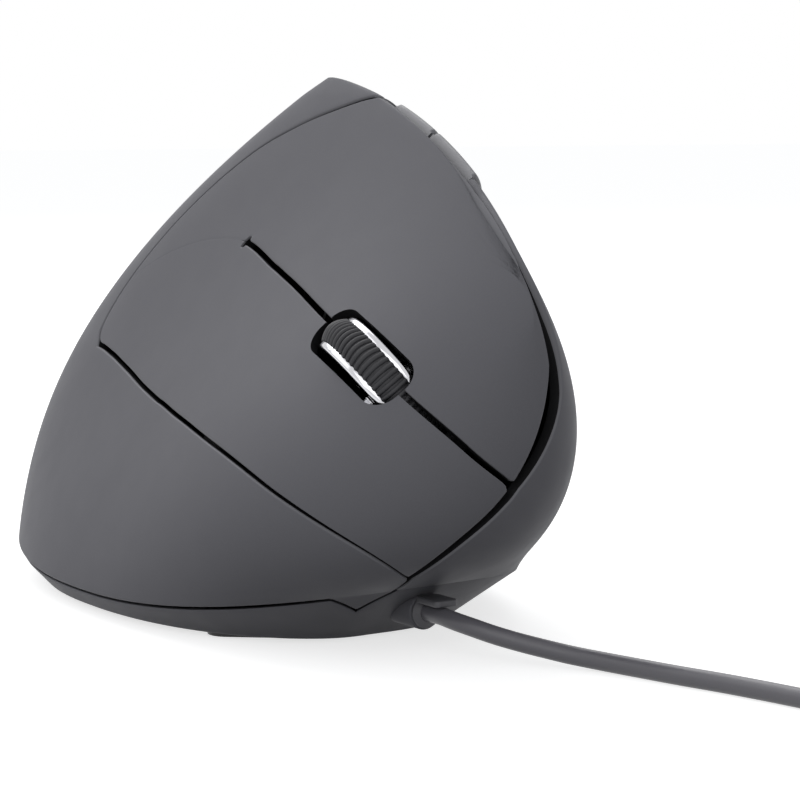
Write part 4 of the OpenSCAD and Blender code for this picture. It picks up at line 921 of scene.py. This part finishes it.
print("tyre:", len(tyre.data.polygons), "faces,", TYRE_RIBS, "ribs")

# %% [markdown]
# ## Shared surface effects
# Moulded plastic and rubber are never one flat colour: a fine grain breaks the gloss, the tone wanders a little, and
# touched edges get a lighter polish. These effects are shader groups, built once and placed in each material with its
# own values. The shaders stay in the materials, so that the groups hold only colours, masks and heights.


# %% Shader groups
def shader_group(name, colors, values):
    """A new shader group that takes colours and values and gives a colour, a roughness and a height."""
    group = bpy.data.node_groups.new(name, "ShaderNodeTree")
    inputs = [(label, "Color") for label in colors] + [(label, "Float") for label in values]
    outputs = [("Color", "Color"), ("Roughness", "Float"), ("Height", "Float")]
    for way, sockets in (("INPUT", inputs), ("OUTPUT", outputs)):
        for label, kind in sockets:
            group.interface.new_socket(label, in_out=way, socket_type="NodeSocket" + kind)
    wires = Wires(group)
    return wires, wires.add("NodeGroupInput").outputs, wires.add("NodeGroupOutput").inputs


def moulded_surface():
    """Grain, wandering tone and polished edges of a moulded part."""
    wires, given, made = shader_group("moulded_surface", ("Color", "Edge color"),
                                      ("Grains per metre", "Tone change", "Roughness"))
    grain, cloud, smudge = wires.noise(given["Grains per metre"]), wires.noise(70.0, 3.0), wires.noise(260.0, 4.0)
    speck = wires.swing(grain, 0.12)
    light = wires.math("ADD", wires.math("ADD", wires.swing(cloud, given["Tone change"]), speck), 1.0)
    bright = wires.add("ShaderNodeVectorMath")
    bright.operation = "SCALE"
    wires.link(given["Color"], bright.inputs[0])
    wires.link(light, bright.inputs["Scale"])
    edge = wires.add("ShaderNodeAttribute")
    edge.attribute_name = "edge"
    rub = wires.math("MULTIPLY", wires.math("POWER", edge.outputs["Fac"], 1.1), 0.65)
    matt = wires.math("ADD", wires.math("ADD", given["Roughness"], wires.swing(smudge, 0.16)), speck)
    wires.link(wires.mix(rub, bright.outputs[0], given["Edge color"]), made["Color"])
    wires.link(wires.math("SUBTRACT", matt, wires.math("MULTIPLY", rub, 0.15)), made["Roughness"])
    wires.link(grain, made["Height"])
    return wires.tree


def drawn_lines():
    """Fine lines of drawn, turned or printed material along one direction, as tone, roughness and height."""
    wires, given, made = shader_group("drawn_lines", ("Color", "Line color"), ("Lines per metre", "Roughness"))
    lines = wires.noise(given["Lines per metre"], 3.0, (1, 0.04, 1))
    wires.link(wires.mix(lines, given["Color"], given["Line color"]), made["Color"])
    wires.link(wires.math("ADD", given["Roughness"], wires.swing(lines, 0.2)), made["Roughness"])
    wires.link(lines, made["Height"])
    return wires.tree


def printed_tracks():
    """Copper tracks and pads that show through a board's lacquer."""
    wires, given, made = shader_group("printed_tracks", ("Lacquer", "Track"), ("Roughness",))
    place = wires.add("ShaderNodeTexCoord").outputs["Object"]
    bricks, cells = wires.add("ShaderNodeTexBrick"), wires.add("ShaderNodeTexVoronoi")
    for label, value in (("Vector", place), ("Scale", 160.0), ("Mortar Size", 0.045), ("Mortar Smooth", 0.3),
                         ("Brick Width", 0.9), ("Row Height", 0.28)):
        wires.feed(bricks.inputs[label], value)
    wires.link(place, cells.inputs["Vector"])
    cells.inputs["Scale"].default_value = 420.0
    pads = wires.math("LESS_THAN", cells.outputs["Distance"], 0.16)
    metal = wires.math("MAXIMUM", bricks.outputs["Fac"], pads)
    cloud = wires.math("MULTIPLY", wires.noise(900.0), 0.15)
    wires.link(wires.mix(metal, given["Lacquer"], given["Track"]), made["Color"])
    wires.link(wires.math("ADD", given["Roughness"], cloud), made["Roughness"])
    wires.link(metal, made["Height"])
    return wires.tree


MOULDED, LINES, TRACKS = moulded_surface(), drawn_lines(), printed_tracks()
print("shader groups:", MOULDED.name, LINES.name, TRACKS.name)

# %% [markdown]
# ## Finishes
# Each finish of the mouse is a Principled shader with one of the groups before it. The body has a soft-touch paint:
# dark grey, satin, a little lighter where fingers polish the edges. Inside are plain black plastic, pale switch
# plungers, lacquered boards, grey flat leads and a clear sensor lens.


# %% Finishes
def finish(name, group, values, bump=0.1, depth=0.03, **sockets):
    """A material whose Principled shader takes colour, roughness and bump from a group."""
    mat = bpy.data.materials.get(name) or bpy.data.materials.new(name)
    mat.use_nodes = True
    nodes, link = mat.node_tree.nodes, mat.node_tree.links.new
    shader = nodes["Principled BSDF"]
    surface, relief_map = nodes.new("ShaderNodeGroup"), nodes.new("ShaderNodeBump")
    surface.node_tree = group
    for label, value in values.items():
        surface.inputs[label].default_value = (*value, 1) if isinstance(value, tuple) else value
    for label, value in sockets.items():
        shader.inputs[label.replace("_", " ")].default_value = value
    relief_map.inputs["Strength"].default_value = bump
    relief_map.inputs["Distance"].default_value = depth * MM
    link(surface.outputs["Color"], shader.inputs["Base Color"])
    link(surface.outputs["Roughness"], shader.inputs["Roughness"])
    link(surface.outputs["Height"], relief_map.inputs["Height"])
    link(relief_map.outputs[0], shader.inputs["Normal"])
    return mat


def moulded(name, color, edge, grains, tone, roughness, bump=0.1, **sockets):
    return finish(name, MOULDED, {"Color": color, "Edge color": edge, "Grains per metre": float(grains),
                                  "Tone change": tone, "Roughness": roughness}, bump, **sockets)


def lined(name, color, line, lines, roughness, bump=0.1, **sockets):
    return finish(name, LINES, {"Color": color, "Line color": line, "Lines per metre": float(lines),
                                "Roughness": roughness}, bump, **sockets)


BODY_GREY, BODY_EDGE = (0.150, 0.149, 0.163), (0.250, 0.248, 0.264)
finishes = {
    "shell": moulded("soft_grey_shell", BODY_GREY, BODY_EDGE, 5200, 0.05, 0.50, 0.10, Specular_IOR_Level=0.06),
    "keys": moulded("soft_grey_keys", BODY_GREY, BODY_EDGE, 5200, 0.05, 0.47, 0.10, Specular_IOR_Level=0.06),
    "thumb_keys": moulded("soft_grey_thumb_keys", BODY_GREY, BODY_EDGE, 4800, 0.05, 0.47, 0.10,
                          Specular_IOR_Level=0.3),
    # Black plastic for the walls of gaps and inner faces; it also paints the shade in the gaps.
    "bare_and_shade": moulded("black_plastic_and_painted_gap_shade", (0.010, 0.010, 0.011), (0.012, 0.012, 0.013), 3000, 0.08, 0.6, 0.1,
                    Specular_IOR_Level=0.2),
    "rim": lined("bright_chrome", (0.66, 0.66, 0.68), (0.56, 0.56, 0.59), 3000, 0.12, 0.03, Metallic=1.0),
    "tyre": moulded("tyre_rubber", (0.027, 0.027, 0.031), (0.04, 0.04, 0.045), 4800, 0.10, 0.62, 0.15),
    "inner_plastic": moulded("inner_black", (0.014, 0.014, 0.016), (0.04, 0.04, 0.044), 3600, 0.08, 0.5, 0.15),
    "switch_case": moulded("switch_black", (0.017, 0.017, 0.019), (0.03, 0.03, 0.033), 6000, 0.08, 0.42, 0.1),
    "pale_plastic": moulded("pale_plastic", (0.70, 0.69, 0.64), (0.76, 0.75, 0.71), 5000, 0.06, 0.35, 0.08),
    "board": finish("green_board", TRACKS, {"Lacquer": (0.012, 0.10, 0.045), "Track": (0.05, 0.20, 0.09),
                                            "Roughness": 0.25}, 0.3, 0.05),
    "ribbon": lined("flat_lead", (0.42, 0.42, 0.43), (0.20, 0.20, 0.21), 1400, 0.45, 0.3),
    "lens": moulded("clear_lens", (0.95, 0.97, 0.97), (0.95, 0.97, 0.97), 900, 0.02, 0.06, 0.02,
                    Transmission_Weight=1.0, IOR=1.49),
    "cable": moulded("cable_jacket", (0.140, 0.136, 0.152), (0.15, 0.15, 0.16), 3200, 0.08, 0.36, 0.10),
    "relief": moulded("soft_relief", (0.095, 0.094, 0.103), (0.12, 0.12, 0.13), 4000, 0.08, 0.52, 0.12),
    "screw": lined("plated_steel", (0.55, 0.55, 0.57), (0.38, 0.38, 0.40), 5000, 0.28, 0.08, Metallic=1.0),
    "shield": lined("plug_shield", (0.62, 0.62, 0.64), (0.45, 0.45, 0.47), 4200, 0.26, 0.08, Metallic=1.0),
    "glide": moulded("slick_feet", (0.020, 0.020, 0.022), (0.03, 0.03, 0.033), 2600, 0.10, 0.30, 0.06)}
print(len(finishes), "finishes")

# %% [markdown]
# ## Painting
# The body is painted outside only: the walls of its gaps and its inner faces are black plastic, which also paints the
# shade in the gaps, so the seams read as dark lines. One finish everywhere would leave them grey. Every solid takes
# the finish of its slot in the record.


# %% Paint the pieces
def paint(slot_name, *pieces, inside=None):
    """Gives pieces a finish, and their walls and inner faces another one."""
    for piece in pieces:
        index = np.zeros(len(piece.data.polygons), np.int32)
        piece.data.polygons.foreach_get("material_index", index)
        piece.data.materials.clear()
        piece.data.materials.append(finishes[slot_name])
        if inside:
            piece.data.materials.append(finishes[inside])
        piece.data.polygons.foreach_set("material_index", np.minimum(index, 1 if inside else 0))


# The walls of the shells' and keys' gaps take the black that paints their shade.
paint("shell", main_shell, thumb_shell, inside="bare_and_shade")
paint("keys", left_panel, right_panel, inside="bare_and_shade")
for slot_name, pieces in (("shell", (base, collar)), ("thumb_keys", thumb_caps), ("rim", (hub,)), ("tyre", (tyre,)),
                          ("cable", (cable,)), ("relief", (relief, hood))):
    paint(slot_name, *pieces)
for part in frame["record"]["subparts"]:
    node = frame["nodes"][part["node"]]
    for k in range(len(node.material_slots)):
        node.material_slots[k].material = finishes[part["material_slot"]]

# %% [markdown]
# ## Floor
# The picture has a white sweep of paper. A plain white floor would throw too much light back, because the lower half of
# the mouse stays dark in the picture. So the floor is white only for the camera and in reflections, and a darker paper
# for all other rays.


# %% Floor
def seen_only(tree):
    """A mask that is 1 for rays from the camera, from reflections and through glass."""
    wires = Wires(tree)
    path = wires.add("ShaderNodeLightPath").outputs
    mirrored = wires.math("MAXIMUM", path["Is Glossy Ray"], path["Is Transmission Ray"])
    return wires.math("MAXIMUM", path["Is Camera Ray"], mirrored)


PAPER_HALF, PAPER_GLOW, PAPER_DIFFUSE, PAPER_BOUNCE = 4, 0.705, 0.62, 0.34
corners = [(x * PAPER_HALF, y * PAPER_HALF, 0) for x, y in ((-1, -1), (1, -1), (1, 1), (-1, 1))]
floor_mesh = bpy.data.meshes.new("floor")
floor_mesh.from_pydata(corners, [], [(0, 1, 2, 3)])
floor = bpy.data.objects.new("floor", floor_mesh)
scene.collection.objects.link(floor)
paper = bpy.data.materials.new("white_paper")
paper.use_nodes = True
nodes, link = paper.node_tree.nodes, paper.node_tree.links.new
nodes.remove(nodes["Principled BSDF"])
glow = nodes.new("ShaderNodeEmission")
lit, dim = nodes.new("ShaderNodeBsdfDiffuse"), nodes.new("ShaderNodeBsdfDiffuse")
glow.inputs["Strength"].default_value = PAPER_GLOW
lit.inputs["Color"].default_value = (PAPER_DIFFUSE, PAPER_DIFFUSE, PAPER_DIFFUSE, 1)
dim.inputs["Color"].default_value = (PAPER_BOUNCE, PAPER_BOUNCE, PAPER_BOUNCE, 1)
both, pick = nodes.new("ShaderNodeAddShader"), nodes.new("ShaderNodeMixShader")
link(glow.outputs[0], both.inputs[0])
link(lit.outputs[0], both.inputs[1])
link(seen_only(paper.node_tree), pick.inputs[0])
link(dim.outputs[0], pick.inputs[1])
link(both.outputs[0], pick.inputs[2])
link(pick.outputs[0], nodes["Material Output"].inputs["Surface"])
floor_mesh.materials.append(paper)
print("floor:", 2 * PAPER_HALF, "m of paper")

# %% [markdown]
# ## World and lamps
# The light is broad and even. A soft box behind lights the upper side and throws the shadow forward, and weaker ones
# fill in from the left and the front. A ready-made studio picture round the scene would do the same with less control.

# %% World and lamps
WORLD_LIGHT = 0.47
world = bpy.data.worlds.new("studio")
scene.world = world
world.use_nodes = True
nodes, link = world.node_tree.nodes, world.node_tree.links.new
white, pick = nodes["Background"], nodes.new("ShaderNodeMixShader")
ambient = nodes.new("ShaderNodeBackground")
for sky, color, strength in ((white, (1, 1, 1, 1), 1.0), (ambient, (0.96, 0.98, 1, 1), WORLD_LIGHT)):
    sky.inputs["Color"].default_value, sky.inputs["Strength"].default_value = color, strength
link(seen_only(world.node_tree), pick.inputs[0])
link(ambient.outputs[0], pick.inputs[1])
link(white.outputs[0], pick.inputs[2])
link(pick.outputs[0], nodes["World Output"].inputs["Surface"])


def soft_box(name, azimuth, elevation, distance, size, power, aim=(0, 0, 0.035)):
    """An area lamp round the object, turned to face it."""
    back = direction(azimuth, elevation)
    lamp = bpy.data.objects.new(name, bpy.data.lights.new(name, "AREA"))
    lamp.data.shape, lamp.data.size, lamp.data.size_y = "RECTANGLE", size[0], size[1]
    lamp.data.energy = power
    lamp.location = Vector(aim) + distance * back
    lamp.rotation_euler = back.to_track_quat("Z", "Y").to_euler()
    scene.collection.objects.link(lamp)
    return lamp


lamps = [soft_box("rear_box", -7, 50, 0.9, (0.9, 0.7), 4.0), soft_box("left_box", 58, 40, 0.9, (0.8, 0.6), 1.2),
         soft_box("front_box", 135, 28, 0.9, (0.8, 0.6), 1.4)]
print("lamps:", [lamp.name for lamp in lamps])
